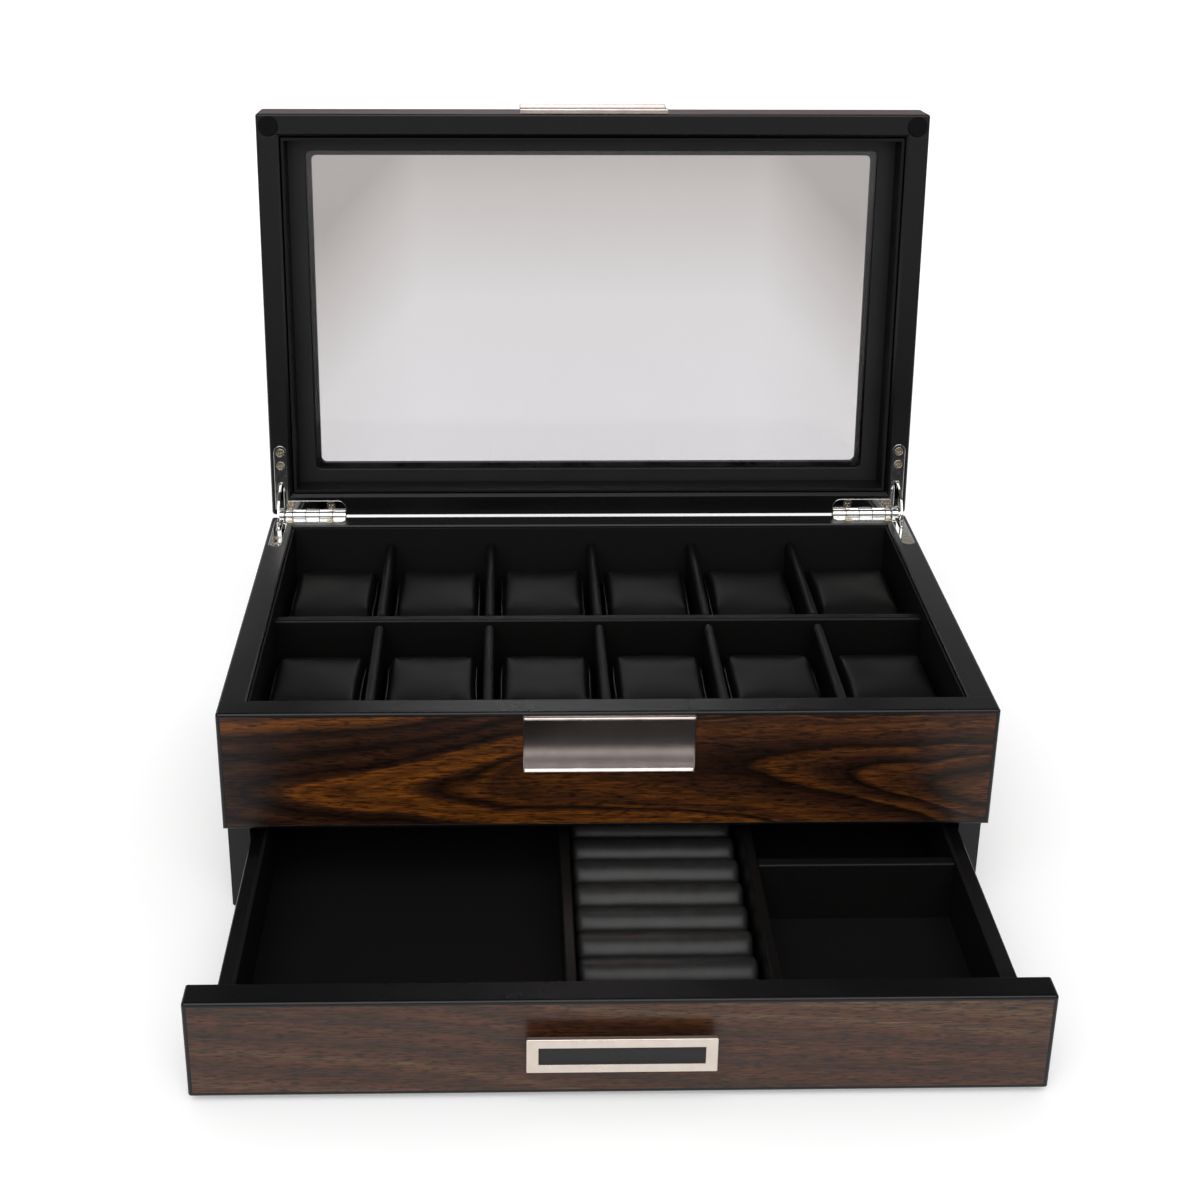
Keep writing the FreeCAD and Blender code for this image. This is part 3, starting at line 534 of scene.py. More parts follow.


# Brushed cotton sateen on the ring rolls: dark grey with a soft sheen and fine threads, with painted
# shade that darkens it from the rolls' backs down into the gaps between them
def rollCloth():
    look = sateenLook
    low, high = look["worn"]
    least, most = look["wornShare"]
    finish, tree, shader, place = newFinish("dark_grey_sateen")
    warp = addNode(
        tree,
        "TexWave",
        {"Vector": place, "Scale": 1 / (3.14 * look["thread"]), "Distortion": 1.5, "Detail": 2,
         "Detail Scale": 2.0},
        bands_direction="X",
    )
    cloud = addNode(tree, "TexNoise", {"Vector": place, "Scale": 1 / look["cloud"], "Detail": 4})
    tint = addNode(
        tree, "ValToRGB", {"Fac": cloud.outputs["Fac"]}, stops=[(0.3, "#201f1e"), (0.7, "#2a2928")]
    )
    axes = addNode(tree, "SeparateXYZ", {"Vector": place})
    # painted shade: the tint is darkened towards the foot of each roll, where shade falls between the
    # rolls
    worn = addNode(
        tree,
        "MapRange",
        {"Value": axes.outputs["Z"], "From Min": low, "From Max": high, "To Min": least, "To Max": most},
    )
    cloth = addNode(
        tree, "VectorMath", {0: tint.outputs["Color"], "Scale": worn.outputs[0]}, operation="SCALE"
    )
    bump = addNode(
        tree, "Bump", {"Height": warp.outputs["Fac"], "Strength": 0.15, "Distance": 0.05 * mm}
    )
    setShader(
        tree,
        shader,
        {"Base Color": cloth.outputs["Vector"], "Roughness": 0.46, "Normal": bump.outputs["Normal"]},
    )
    return finish


# Pressed wool felt: dull, short loose hairs
def woolFelt():
    finish, tree, shader, place = newFinish("black_wool_felt")
    hair = addNode(
        tree, "TexNoise", {"Vector": place, "Scale": 1 / (0.8 * mm), "Detail": 5, "Roughness": 0.7}
    )
    tint = addNode(
        tree, "ValToRGB", {"Fac": hair.outputs["Fac"]}, stops=[(0.35, "#0e0e0e"), (0.65, "#1c1c1c")]
    )
    bump = addNode(tree, "Bump", {"Height": hair.outputs["Fac"], "Strength": 0.5, "Distance": 0.2 * mm})
    setShader(
        tree,
        shader,
        {"Base Color": tint.outputs["Color"], "Roughness": 0.95, "Normal": bump.outputs["Normal"],
         "Specular IOR Level": 0.2, "Sheen Weight": 0.2},
    )
    return finish


steelLook = {
    "lines": (3600, 300, 14),  # turns per metre across, through and along the lines
    "lineDepth": 0.004 * mm,
    "edge": 0.9 * mm,
    "foot": 79.3 * mm,  # height of the plate's lower edge
    "curlFrom": 93 * mm,
    "curlBend": 1.7,
    "curl": 0.65 * mm,
    "lipFrom": 82 * mm,
    "lip": 1 * mm,
}


# Steel brushed up and down: fine upright lines that blur what it mirrors. The case's plate curls
# out a little towards its lower edge, most in the last few millimetres, which catch the light.
def brushedSteel():
    look = steelLook
    finish, tree, shader, place = newFinish("brushed_steel")
    linePlace = addNode(tree, "Mapping", {"Vector": place, "Scale": look["lines"]})
    lines = addNode(
        tree, "TexNoise", {"Vector": linePlace.outputs["Vector"], "Scale": 1.0, "Detail": 3}
    )
    cloud = addNode(tree, "TexNoise", {"Vector": place, "Scale": 1 / (9 * mm), "Detail": 3})
    rough = addNode(
        tree,
        "MapRange",
        {"Value": lines.outputs["Fac"], "From Min": 0.3, "From Max": 0.7, "To Min": 0.22, "To Max": 0.26},
    )
    tint = addNode(
        tree, "ValToRGB", {"Fac": cloud.outputs["Fac"]}, stops=[(0.35, "#d0c1bb"), (0.65, "#decec8")]
    )
    edge = addNode(tree, "Bevel", {"Radius": look["edge"]}, samples=8)
    axes = addNode(tree, "SeparateXYZ", {"Vector": place})
    lower = addNode(
        tree,
        "MapRange",
        {"Value": axes.outputs["Z"], "From Min": look["curlFrom"], "From Max": look["foot"]},
    )
    curl = addNode(tree, "Math", {0: lower.outputs[0], 1: look["curlBend"]}, operation="POWER")
    last = addNode(
        tree,
        "MapRange",
        {"Value": axes.outputs["Z"], "From Min": look["lipFrom"], "From Max": look["foot"]},
    )
    lip = addNode(tree, "Math", {0: last.outputs[0], 1: last.outputs[0]}, operation="MULTIPLY")
    shape = addNode(
        tree, "Math", {0: curl.outputs[0], 1: look["curl"] / look["lip"], 2: lip.outputs[0]},
        operation="MULTIPLY_ADD",
    )
    flare = addNode(
        tree,
        "Bump",
        {"Height": shape.outputs[0], "Normal": edge.outputs["Normal"], "Distance": look["lip"]},
    )
    bump = addNode(
        tree,
        "Bump",
        {"Height": lines.outputs["Fac"], "Normal": flare.outputs["Normal"],
         "Strength": 0.2, "Distance": look["lineDepth"]},
    )
    setShader(
        tree,
        shader,
        {"Base Color": tint.outputs["Color"], "Metallic": 1.0, "Roughness": rough.outputs[0],
         "Normal": bump.outputs["Normal"]},
    )
    return finish


# Pearl nickel plating on the handle: pale champagne, satin
def pearlNickel():
    finish, tree, shader, place = newFinish("pearl_nickel")
    cloud = addNode(tree, "TexNoise", {"Vector": place, "Scale": 1 / (4 * mm), "Detail": 4})
    tint = addNode(
        tree, "ValToRGB", {"Fac": cloud.outputs["Fac"]}, stops=[(0.3, "#e0d3c8"), (0.7, "#e8dcd0")]
    )
    fine = addNode(tree, "TexNoise", {"Vector": place, "Scale": 1 / (0.5 * mm), "Detail": 2})
    edge = addNode(tree, "Bevel", {"Radius": 0.25 * mm}, samples=4)
    bump = addNode(
        tree,
        "Bump",
        {"Height": fine.outputs["Fac"], "Normal": edge.outputs["Normal"],
         "Strength": 0.08, "Distance": 0.02 * mm},
    )
    setShader(
        tree,
        shader,
        {"Base Color": tint.outputs["Color"], "Metallic": 1.0, "Roughness": 0.3,
         "Normal": bump.outputs["Normal"]},
    )
    return finish


# Polished nickel on the hinges: sharp reflections with faint handling marks
def polishedNickel():
    finish, tree, shader, place = newFinish("polished_nickel")
    marks = addNode(
        tree, "TexNoise", {"Vector": place, "Scale": 1 / (3 * mm), "Detail": 5, "Roughness": 0.7}
    )
    rough = addNode(
        tree,
        "MapRange",
        {"Value": marks.outputs["Fac"], "From Min": 0.4, "From Max": 0.75, "To Min": 0.04, "To Max": 0.12},
    )
    tint = addNode(
        tree, "ValToRGB", {"Fac": marks.outputs["Fac"]}, stops=[(0.3, "#d9d8d6"), (0.7, "#e9e8e6")]
    )
    edge = addNode(tree, "Bevel", {"Radius": 0.45 * mm}, samples=8)
    setShader(
        tree,
        shader,
        {"Base Color": tint.outputs["Color"], "Metallic": 1.0, "Roughness": rough.outputs[0],
         "Normal": edge.outputs["Normal"]},
    )
    return finish


# Passivated steel screws and pins: warm yellowish grey
def warmSteel():
    finish, tree, shader, place = newFinish("passivated_steel")
    cloud = addNode(tree, "TexNoise", {"Vector": place, "Scale": 1 / (1.5 * mm), "Detail": 3})
    tint = addNode(
        tree, "ValToRGB", {"Fac": cloud.outputs["Fac"]}, stops=[(0.3, "#b7a58a"), (0.7, "#d9ccb6")]
    )
    edge = addNode(tree, "Bevel", {"Radius": 0.2 * mm}, samples=6)
    setShader(
        tree,
        shader,
        {"Base Color": tint.outputs["Color"], "Metallic": 1.0, "Roughness": 0.2,
         "Normal": edge.outputs["Normal"]},
    )
    return finish


glassLook = {
    # the glass's own faint grey at 0, then painted shade, darker towards 1
    "smokeAndPaintedShade": [(0.0, "#dddbde"), (0.5, "#d0cecf"), (0.8, "#b9b3b2"), (1.0, "#a09a99")],
    "paintedShadeRise": (130 * mm, 310 * mm),  # heights on the open lid between which the painted shade deepens
    "sides": (90 * mm, 140 * mm),  # and how far from the middle it does towards the sides
    "paintedSideShadeShare": 0.3,
    "wipe": 30 * mm,
}


# Grey float glass: see-through, a little smoke in it, and painted shade that darkens it towards the far
# edge and the sides
def smokedGlass():
    look = glassLook
    low, high = look["paintedShadeRise"]
    inner, outer = look["sides"]
    finish, tree, shader, place = newFinish("grey_float_glass")
    axes = addNode(tree, "SeparateXYZ", {"Vector": place})
    height = addNode(tree, "MapRange", {"Value": axes.outputs["Z"], "From Min": low, "From Max": high})
    sideways = addNode(tree, "Math", {0: axes.outputs["X"]}, operation="ABSOLUTE")
    rims = addNode(
        tree,
        "MapRange",
        {"Value": sideways.outputs[0], "From Min": inner, "From Max": outer,
         "To Max": look["paintedSideShadeShare"]},
    )
    # painted shade: the tint darkens up the open lid and towards its sides
    depth = addNode(tree, "Math", {0: height.outputs[0], 1: rims.outputs[0]}, operation="ADD")
    tint = addNode(tree, "ValToRGB", {"Fac": depth.outputs[0]}, stops=look["smokeAndPaintedShade"])
    wipe = addNode(
        tree, "TexNoise", {"Vector": place, "Scale": 1 / look["wipe"], "Detail": 5, "Roughness": 0.65}
    )
    rough = addNode(
        tree,
        "MapRange",
        {"Value": wipe.outputs["Fac"], "From Min": 0.5, "From Max": 0.8, "To Min": 0.0, "To Max": 0.06},
    )
    setShader(
        tree,
        shader,
        {"Base Color": tint.outputs["Color"], "Transmission Weight": 1.0, "IOR": 1.5,
         "Roughness": rough.outputs[0], "Specular IOR Level": 0.25},  # coated, so it mirrors little
    )
    return finish


# Moulded rubber: matt and nearly black, slightly dusty
def mouldedRubber():
    finish, tree, shader, place = newFinish("moulded_rubber")
    dust = addNode(tree, "TexNoise", {"Vector": place, "Scale": 1 / (1.0 * mm), "Detail": 4})
    tint = addNode(
        tree, "ValToRGB", {"Fac": dust.outputs["Fac"]}, stops=[(0.35, "#050505"), (0.7, "#0a0a0a")]
    )
    bump = addNode(tree, "Bump", {"Height": dust.outputs["Fac"], "Strength": 0.2, "Distance": 0.05 * mm})
    setShader(
        tree,
        shader,
        {"Base Color": tint.outputs["Color"], "Roughness": 0.7, "Normal": bump.outputs["Normal"],
         "Specular IOR Level": 0.15},
    )
    return finish


# Woven fibre inlay in the handle: two sets of threads 0.7 mm apart, in a checker of light and dark
def wovenInlay():
    thread = 0.7 * mm
    finish, tree, shader, place = newFinish("woven_inlay")
    checks = addNode(
        tree, "TexChecker", {"Vector": place, "Color1": linear("#161616"), "Color2": linear("#0e0e0e"),
                             "Scale": 1 / thread}
    )
    flat = addNode(tree, "RGBToBW", {"Color": checks.outputs["Color"]})
    bump = addNode(tree, "Bump", {"Height": flat.outputs[0], "Strength": 0.6, "Distance": 0.4 * mm})
    setShader(
        tree,
        shader,
        {"Base Color": checks.outputs["Color"], "Roughness": 0.55, "Normal": bump.outputs["Normal"]},
    )
    return finish


lacquer = satinLacquer()
leather = leatherette()
piping = pipingWithPaintedHighlight()
lining = flockedLining()
foil = satinFoil()
sateen = rollCloth()
felt = woolFelt()
steel = brushedSteel()
nickel = polishedNickel()
pearl = pearlNickel()
screwSteel = warmSteel()

finishOfSlot = {
    "black_lacquer": lacquer,
    "walnut": walnutVeneer("walnut_crown_cut", crownFigure, placeOnFront, crownLevel),
    "grey_walnut": walnutVeneer("walnut_quarter_cut", straightFigure, placeOnFront, straightLevel),
    "leatherette": leather,
    "lining": lining,
    "roll_cloth": sateen,
    "felt": felt,
    "brushed_plate": steel,
    "handle_metal": pearl,
    "hinge_metal": nickel,
    "screw_metal": screwSteel,
    "glass": smokedGlass(),
    "rubber": mouldedRubber(),
    "inlay": wovenInlay(),
}
finishOfNode = {
    "side_veneers": walnutVeneer("walnut_crown_cut_sides", sideFigure, placeOnSide, crownLevel),
    "lid_veneers": walnutVeneer("walnut_quarter_cut_lid", lidFigure, placeOnLid, straightLevel),
    "glass_retainer": foil,
}
for part in frame["record"]["subparts"]:
    node, slotName = part["node"], part["material_slot"]
    piece = frame["nodes"][node]
    piece.data.materials.clear()
    piece.data.materials.append(finishOfNode.get(node, finishOfSlot[slotName]))
print("finishes made and given to the frame's nodes")


# Padded pieces


# the evaluated mesh of a piece, modifiers included, as a mesh of its own
def bakedMesh(piece):
    graph = bpy.context.evaluated_depsgraph_get()
    return bpy.data.meshes.new_from_object(piece.evaluated_get(graph))


# a bmesh as an object in the scene
def newPiece(name, bm, finish=None):
    mesh = bpy.data.meshes.new(name)
    bm.to_mesh(mesh)
    bm.free()
    piece = bpy.data.objects.new(name, mesh)
    scene.collection.objects.link(piece)
    if finish:
        mesh.materials.append(finish)
    return piece


# Foam under a cover: the closed form is remeshed, blown up a little by the cloth solver, and
# held within the cap of where it started
def swell(piece, pad):
    remesh = piece.modifiers.new("even", "REMESH")
    remesh.mode = "VOXEL"
    remesh.voxel_size = pad["voxel"]
    start = bakedMesh(piece)
    piece.modifiers.remove(remesh)
    piece.data = start
    before = [v.co.copy() for v in start.vertices]
    cloth = piece.modifiers.new("swell", "CLOTH")
    cloth.settings.quality = 6
    cloth.settings.mass = 0.15
    cloth.settings.bending_stiffness = pad["bending"]
    cloth.settings.use_pressure = True
    cloth.settings.uniform_pressure_force = pad["pressure"]
    cloth.settings.effector_weights.gravity = 0
    cloth.point_cache.frame_start = 1
    cloth.point_cache.frame_end = pad["frames"]
    for frameNumber in range(1, pad["frames"] + 1):
        scene.frame_set(frameNumber)
    blown = bakedMesh(piece)
    piece.modifiers.remove(cloth)
    scene.frame_set(1)
    for vertex, old in zip(blown.vertices, before):
        step = vertex.co - old
        if step.length > pad["cap"]:
            vertex.co = old + step.normalized() * pad["cap"]
    piece.data = blown


# one smooth subdivision, kept in the mesh
def subdivide(piece):
    smooth = piece.modifiers.new("smooth", "SUBSURF")
    smooth.levels = smooth.render_levels = 1
    finer = bakedMesh(piece)
    piece.modifiers.clear()
    piece.data = finer


# points round the piece where a plane across X cuts it, in order
def outlineAt(mesh, x):
    bm = bmesh.new()
    bm.from_mesh(mesh)
    cut = bmesh.ops.bisect_plane(
        bm, geom=bm.verts[:] + bm.edges[:] + bm.faces[:], plane_co=(x, 0, 0), plane_no=(1, 0, 0)
    )
    edges = [part for part in cut["geom_cut"] if isinstance(part, bmesh.types.BMEdge)]
    ring = [edges[0].verts[0], edges[0].verts[1]]
    left = set(edges[1:])
    while left:
        nextEdge = next((e for e in left if ring[-1] in e.verts), None)
        if nextEdge is None:
            break
        left.remove(nextEdge)
        ring.append(nextEdge.other_vert(ring[-1]))
    points = [v.co.copy() for v in ring[:-1]]
    bm.free()
    return points


# a thin welt that follows a closed ring of points
def weltMesh(points, radius, name):
    curve = bpy.data.curves.new(name, "CURVE")
    curve.dimensions = "3D"
    spline = curve.splines.new("NURBS")
    spline.points.add(len(points) - 1)
    for target, point in zip(spline.points, points):
        target.co = (*point, 1)
    spline.use_cyclic_u = True
    curve.bevel_depth = radius
    curve.bevel_resolution = 2
    curve.resolution_u = 2
    holder = bpy.data.objects.new(name, curve)
    scene.collection.objects.link(holder)
    mesh = bakedMesh(holder)
    bpy.data.objects.remove(holder)
    return mesh


samePlace = 0.1 * mm  # closer than this counts as the same place

pillowPad = {
    "count": 12,
    "voxel": 3.6 * mm,
    "pressure": 4.0,
    "bending": 0.8,
    "frames": 20,
    "cap": 2.0 * mm,
    "tuck": 1.4 * mm,  # how much smaller than its space the form starts
    "roundTop": 18 * mm,
    "roundBottom": 9 * mm,
    "roundEnd": 5.0 * mm,
    "welt": 0.6 * mm,
    "weltIn": 1.0 * mm,  # from the end of the pillow to its welt
    "sole": 0.56 * mm,  # from the bottom of its space to the flat underside
    "turn": 0.7,  # degrees that a pillow may lie askew
    "uneven": 0.35 * mm,
    "unevenWidth": 18 * mm,
}


# One watch pillow round the origin of its space: foam block in a leatherette cover, whose
# long band runs over the top and whose two ends are sewn in with a welt
def makePillow(size):
    pad = pillowPad
    bm = bmesh.new()
    bmesh.ops.create_cube(bm, size=1)
    bmesh.ops.scale(bm, vec=[side - 2 * pad["tuck"] for side in size], verts=bm.verts)
    for high, offset in ((True, pad["roundTop"]), (False, pad["roundBottom"])):
        long = [
            e for e in bm.edges
            if abs(e.verts[0].co.x - e.verts[1].co.x) > size[0] / 2
            and (e.verts[0].co.z > 0) == high
        ]
        bmesh.ops.bevel(
            bm, geom=long, offset=offset, segments=8, profile=0.5, affect="EDGES", material=-1
        )
    ends = [e for e in bm.edges if e.verts[0].co.x * e.verts[1].co.x > 0
            and abs(e.verts[0].co.x - e.verts[1].co.x) < samePlace]
    bmesh.ops.bevel(
        bm, geom=ends, offset=pad["roundEnd"], segments=3, profile=0.5, affect="EDGES", material=-1
    )
    piece = newPiece("pillow_form", bm)
    swell(piece, pad)
    bottom = -size[2] / 2 + pad["sole"]
    for vertex in piece.data.vertices:
        vertex.co.z = max(vertex.co.z, bottom)
    subdivide(piece)
    low = min(v.co.x for v in piece.data.vertices)
    high = max(v.co.x for v in piece.data.vertices)
    whole = bmesh.new()
    whole.from_mesh(piece.data)
    cover = len(whole.faces)
    for x in (low + pad["weltIn"], high - pad["weltIn"]):
        whole.from_mesh(weltMesh(outlineAt(piece.data, x), pad["welt"], "welt"))
    whole.faces.ensure_lookup_table()
    for face in whole.faces[cover:]:
        face.material_index = 1
    bpy.data.objects.remove(piece)
    return whole


# a little unevenness, so that no two padded pieces are quite the same
def makeUneven(bm, seed, pad):
    offset = Vector((seed * 3.1, seed * 1.7, seed * 2.3))
    for vertex in bm.verts:
        vertex.co += noise.noise_vector(vertex.co / pad["unevenWidth"] + offset) * pad["uneven"]


pillowLow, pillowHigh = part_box("watch_pillow_1")
pillowBase = makePillow(pillowHigh - pillowLow)
for number in range(1, pillowPad["count"] + 1):
    low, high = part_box(f"watch_pillow_{number}")
    random.seed(number)
    bm = pillowBase.copy()
    makeUneven(bm, number, pillowPad)
    askew = random.uniform(-pillowPad["turn"], pillowPad["turn"])
    turn = Matrix.Rotation(math.radians(askew), 4, "Z")
    bmesh.ops.transform(bm, matrix=turn, verts=bm.verts)
    for face in bm.faces:
        face.smooth = True
    bmesh.ops.translate(bm, vec=(low + high) / 2, verts=bm.verts)
    piece = newPiece(f"padded_pillow_{number}", bm, leather)
    piece.data.materials.append(piping)
    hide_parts(f"watch_pillow_{number}")
    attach(piece, f"pillow_{number}")
pillowBase.free()
print("twelve watch pillows made")


rollPad = {
    "count": 9,
    "gap": 0.3 * mm,
    "voxel": 2.4 * mm,
    "pressure": 4.0,
    "bending": 0.6,
    "frames": 16,
    "cap": 0.7 * mm,
    "tuck": 0.6 * mm,
    "foot": 0.45,  # width of the foot as a share of the roll's
    "roundEnd": 1.6 * mm,
    "seed": 40,
    "uneven": 0.25 * mm,
    "unevenWidth": 14 * mm,
}


# One ring roll: a foam bar with a round back, drawn in towards its foot, in a sateen sleeve
def makeRoll(size):
    pad = rollPad
    length, width, height = [side - 2 * pad["tuck"] for side in size]
    bm = bmesh.new()
    bmesh.ops.create_cone(
        bm, cap_ends=True, segments=28, radius1=width / 2, radius2=width / 2, depth=length
    )
    bmesh.ops.rotate(bm, matrix=Matrix.Rotation(math.radians(90), 3, "Y"), verts=bm.verts)
    for vertex in bm.verts:
        down = max(0, -vertex.co.z / (width / 2))
        vertex.co.y *= 1 - (1 - pad["foot"]) * down**2
        vertex.co.z += down * (width - height) / 2
    ends = [e for e in bm.edges if abs(e.verts[0].co.x - e.verts[1].co.x) < samePlace]
    bmesh.ops.bevel(
        bm, geom=ends, offset=pad["roundEnd"], segments=3, profile=0.5, affect="EDGES", material=-1
    )
    piece = newPiece("roll_form", bm)
    swell(piece, pad)
    subdivide(piece)
    whole = bmesh.new()
    whole.from_mesh(piece.data)
    bpy.data.objects.remove(piece)
    return whole


rollLow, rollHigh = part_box("ring_rolls")
rollPitch = (rollHigh.y - rollLow.y + rollPad["gap"]) / rollPad["count"]
rollSize = Vector((rollHigh.x - rollLow.x, rollPitch - rollPad["gap"], rollHigh.z - rollLow.z))
rollBase = makeRoll(rollSize)
for number in range(rollPad["count"]):
    bm = rollBase.copy()
    makeUneven(bm, number + rollPad["seed"], rollPad)
    for face in bm.faces:
        face.smooth = True
    centre = Vector((
        (rollLow.x + rollHigh.x) / 2,
        rollLow.y + rollSize.y / 2 + number * rollPitch,
        (rollLow.z + rollHigh.z) / 2,
    ))
    bmesh.ops.translate(bm, vec=centre, verts=bm.verts)
    piece = newPiece(f"padded_ring_roll_{number + 1}", bm, sateen)
    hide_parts("ring_rolls")
    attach(piece, "drawer")
rollBase.free()
print("nine ring rolls made")


# Felt under the base

feltLow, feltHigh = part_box("base_felt")
feltSheet = {"cells": (48, 28), "edge": 0.5 * mm}


# A felt sheet with soft cut edges
def makeFelt():
    size = feltHigh - feltLow
    bm = bmesh.new()
    bmesh.ops.create_grid(
        bm, x_segments=feltSheet["cells"][0], y_segments=feltSheet["cells"][1], size=0.5
    )
    bmesh.ops.scale(bm, vec=(size.x, size.y, 1), verts=bm.verts)
    grown = bmesh.ops.extrude_face_region(bm, geom=bm.faces[:])
    risen = [part for part in grown["geom"] if isinstance(part, bmesh.types.BMVert)]
    bmesh.ops.translate(bm, vec=(0, 0, size.z), verts=risen)
    bmesh.ops.recalc_face_normals(bm, faces=bm.faces)
    rim = [e for e in bm.edges if e.is_manifold and e.calc_face_angle(0) > 1]
    bmesh.ops.bevel(
        bm, geom=rim, offset=feltSheet["edge"], segments=2, profile=0.5, affect="EDGES", material=-1
    )
    bmesh.ops.translate(
        bm, vec=((feltLow.x + feltHigh.x) / 2, (feltLow.y + feltHigh.y) / 2, feltLow.z), verts=bm.verts
    )
    return newPiece("felt_sheet", bm, felt)


feltPiece = makeFelt()
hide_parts("base_felt")
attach(feltPiece, "case")
print("base felt made")


# Studio: floor, world, lamps and camera

studio = {
    "floor": "#f4f4f4",
    "floorSize": 40,  # metres along each side
    "floorSpan": (0.6, -4.2),  # from behind the box to its front, where gloss sees less of the floor
    "floorShare": [(0.04, "#707070"), (0.08, "#f2f2f2"), (0.208, "#f2f2f2"), (0.229, "#303030"),
                   (0.3, "#303030"), (0.4375, "#949494"), (0.646, "#cbcbcb"),
                   (0.958, "#ffffff")],
    "floorAside": 0.12,  # metres that this starts further back, far to the left and right
    "aside": (0.1, 0.25),  # from the middle, where that sets in and where it is full
    "floorLift": 0.2,  # light that the floor adds of itself for the camera, so that it is white
    "fill": 0.6,  # strength of the surroundings for all but the eye
    "room": 0.07,  # the dim room that gloss mirrors above the backdrop and in front
    "behind": (-0.35, 0.15),  # from the front to the back, where the backdrop sets in for gloss
    "front": 0.15,  # share of the backdrop that gloss sees in front
    "above": (0.25, 0.4),  # heights between which the room sets in for light through the glass
    "backdrop": [(0.2, "#7c7c7c"), (0.26, "#ffffff"), (0.33, "#ffffff"), (0.42, "#000000")],
    "sun": 1.75,
    "sunAngle": 60,
    "sunFrom": (-0.06, -0.68, 0.72),
    "softbox": (0.66, 0.5),
    "softboxSpot": (0.02, 2.2, 1.38),
    "softboxAim": (0, 0, 0.1),
    "softboxPower": 2.0,
}


# 1 for light that comes straight off a glossy surface, 0 for light through the glass and the rest
def mirrorShare(tree, path):
    straight = addNode(
        tree, "Math", {0: path.outputs["Is Glossy Ray"], 1: path.outputs["Is Transmission Ray"]},
        operation="SUBTRACT", use_clamp=True,
    )
    return straight.outputs[0]


# Pale floor: takes the object's shadow, and is white where nothing shades it
def makeFloor():
    bm = bmesh.new()
    bmesh.ops.create_grid(bm, x_segments=8, y_segments=8, size=studio["floorSize"] / 2)
    finish, tree, shader, place = newFinish("white_paper_floor")
    path = addNode(tree, "LightPath")
    seen = addNode(
        tree, "Math",
        {0: path.outputs["Is Camera Ray"], 1: path.outputs["Is Glossy Ray"]},
        operation="MAXIMUM",
    )
    seen = addNode(
        tree, "Math", {0: seen.outputs[0], 1: path.outputs["Is Transmission Ray"]}, operation="MAXIMUM"
    )
    near, far = studio["floorSpan"]
    axes = addNode(tree, "SeparateXYZ", {"Vector": place})
    sideways = addNode(tree, "Math", {0: axes.outputs["X"]}, operation="ABSOLUTE")
    inner, outer = studio["aside"]
    aside = addNode(
        tree,
        "MapRange",
        {"Value": sideways.outputs[0], "From Min": inner, "From Max": outer,
         "To Max": studio["floorAside"]},
    )
    place = addNode(tree, "Math", {0: axes.outputs["Y"], 1: aside.outputs[0]}, operation="SUBTRACT")
    ahead = addNode(tree, "MapRange", {"Value": place.outputs[0], "From Min": near, "From Max": far})
    share = addNode(tree, "ValToRGB", {"Fac": ahead.outputs[0]}, stops=studio["floorShare"])
    level = addNode(
        tree,
        "Mix",
        {0: mirrorShare(tree, path), 2: 1.0, 3: share.outputs["Color"]},
        data_type="FLOAT",
    )
    glow = addNode(tree, "Math", {0: seen.outputs[0], 1: studio["floorLift"]}, operation="MULTIPLY")
    lift = addNode(tree, "Math", {0: glow.outputs[0], 1: level.outputs[0]}, operation="MULTIPLY")
    paper = addNode(
        tree,
        "VectorMath",
        {0: linear(studio["floor"])[:3], "Scale": level.outputs[0]},
        operation="SCALE",
    )
    setShader(
        tree,
        shader,
        {"Base Color": paper.outputs["Vector"], "Roughness": 1.0, "Specular IOR Level": 0.0,
         "Emission Color": (1, 1, 1, 1), "Emission Strength": lift.outputs[0]},
    )
    floor = newPiece("floor", bm, finish)


makeFloor()


# White surroundings for the eye, a softer fill for everything else. Gloss sees a white backdrop
# low behind the box, with a dim room above it and in front, and so does light through the glass.
def makeWorld():
    world = bpy.data.worlds.new("studio")
    scene.world = world
    world.use_nodes = True
    tree = world.node_tree
    path = addNode(tree, "LightPath")
    toward = addNode(tree, "SeparateXYZ", {"Vector": addNode(tree, "TexCoord").outputs["Generated"]})
    low = addNode(tree, "ValToRGB", {"Fac": toward.outputs["Z"]}, stops=studio["backdrop"])
    near, far = studio["behind"]
    behind = addNode(
        tree,
        "MapRange",
        {"Value": toward.outputs["Y"], "From Min": near, "From Max": far, "To Min": studio["front"]},
        interpolation_type="SMOOTHSTEP",
    )
    backdrop = addNode(
        tree, "Math", {0: low.outputs["Color"], 1: behind.outputs[0]}, operation="MULTIPLY"
    )
    mirrored = addNode(tree, "MapRange", {"Value": backdrop.outputs[0], "To Min": studio["room"]})
    bottom, top = studio["above"]
    above = addNode(
        tree,
        "MapRange",
        {"Value": toward.outputs["Z"], "From Min": bottom, "From Max": top,
         "To Min": 1.0, "To Max": studio["room"]},
    )
    seen = addNode(
        tree,
        "MapRange",
        {"Value": path.outputs["Is Camera Ray"], "To Min": studio["fill"], "To Max": 1.0},
    )
    through = addNode(
        tree,
        "Mix",
        {0: path.outputs["Is Transmission Ray"], 2: seen.outputs[0], 3: above.outputs[0]},
        data_type="FLOAT",
    )
    strength = addNode(
        tree,
        "Mix",
        {0: mirrorShare(tree, path), 2: through.outputs[0], 3: mirrored.outputs[0]},
        data_type="FLOAT",
    )
    back = tree.nodes["Background"]
    back.inputs["Color"].default_value = (1, 1, 1, 1)
    tree.links.new(strength.outputs[0], back.inputs["Strength"])


makeWorld()


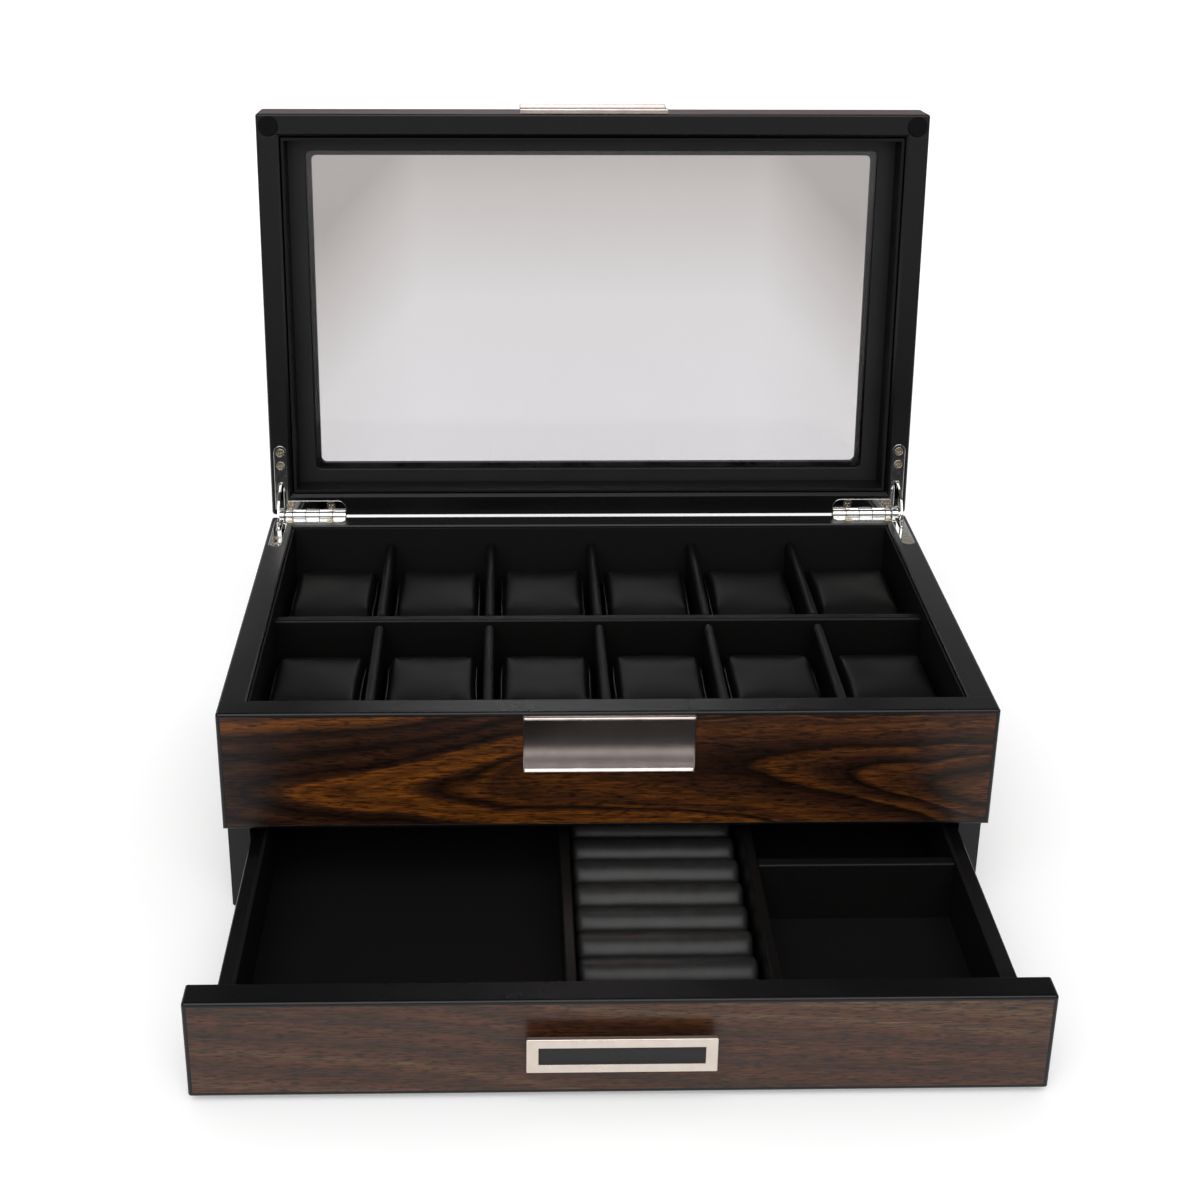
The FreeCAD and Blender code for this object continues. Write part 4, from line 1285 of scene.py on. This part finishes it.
# a lamp in the scene, aimed from its spot at a target
def addLamp(lamp, spot, target=(0, 0, 0)):
    holder = bpy.data.objects.new(lamp.name, lamp)
    holder.location = spot
    holder.rotation_mode = "QUATERNION"
    holder.rotation_quaternion = (Vector(spot) - Vector(target)).to_track_quat("Z", "Y")
    holder.visible_camera = False
    scene.collection.objects.link(holder)


# a broad soft key from the front, above and a little left
def makeSun():
    lamp = bpy.data.lights.new("soft_sun", "SUN")
    lamp.energy = studio["sun"]
    lamp.angle = math.radians(studio["sunAngle"])
    addLamp(lamp, studio["sunFrom"])


# a softbox high behind the box: the patch of light on the rims and on the pillows
def makeSoftbox():
    lamp = bpy.data.lights.new("back_softbox", "AREA")
    lamp.shape = "ELLIPSE"
    lamp.size, lamp.size_y = studio["softbox"]
    lamp.energy = studio["softboxPower"]
    addLamp(lamp, studio["softboxSpot"], studio["softboxAim"])


makeSun()
makeSoftbox()

cameraPlace = {
    "spot": (-0.0425, -0.8103, 0.5076),
    "yaw": 1.41,
    "pitch": 22.41,
    "roll": 0.37,
    "lens": 55.9,
    "sensor": 36,
    "shift": (0.0391, -0.1011),
    "clip": (0.05, 100),
}


def makeCamera():
    yaw, pitch, roll = [math.radians(cameraPlace[k]) for k in ("yaw", "pitch", "roll")]
    forward = Vector((
        math.sin(yaw) * math.cos(pitch), math.cos(yaw) * math.cos(pitch), -math.sin(pitch)
    ))
    level = Vector((math.cos(yaw), -math.sin(yaw), 0))
    up = level.cross(forward)
    right = level * math.cos(roll) + up * math.sin(roll)
    top = -level * math.sin(roll) + up * math.cos(roll)
    turn = Matrix((right, top, -forward)).transposed().to_4x4()
    data = bpy.data.cameras.new("camera")
    data.lens = cameraPlace["lens"]
    data.sensor_width = cameraPlace["sensor"]
    data.shift_x, data.shift_y = cameraPlace["shift"]
    data.clip_start, data.clip_end = cameraPlace["clip"]
    camera = bpy.data.objects.new("camera", data)
    camera.matrix_world = Matrix.Translation(cameraPlace["spot"]) @ turn
    scene.collection.objects.link(camera)
    scene.camera = camera


makeCamera()
scene.view_settings.view_transform = "Standard"
print("studio and camera made")

bpy.context.view_layer.update()
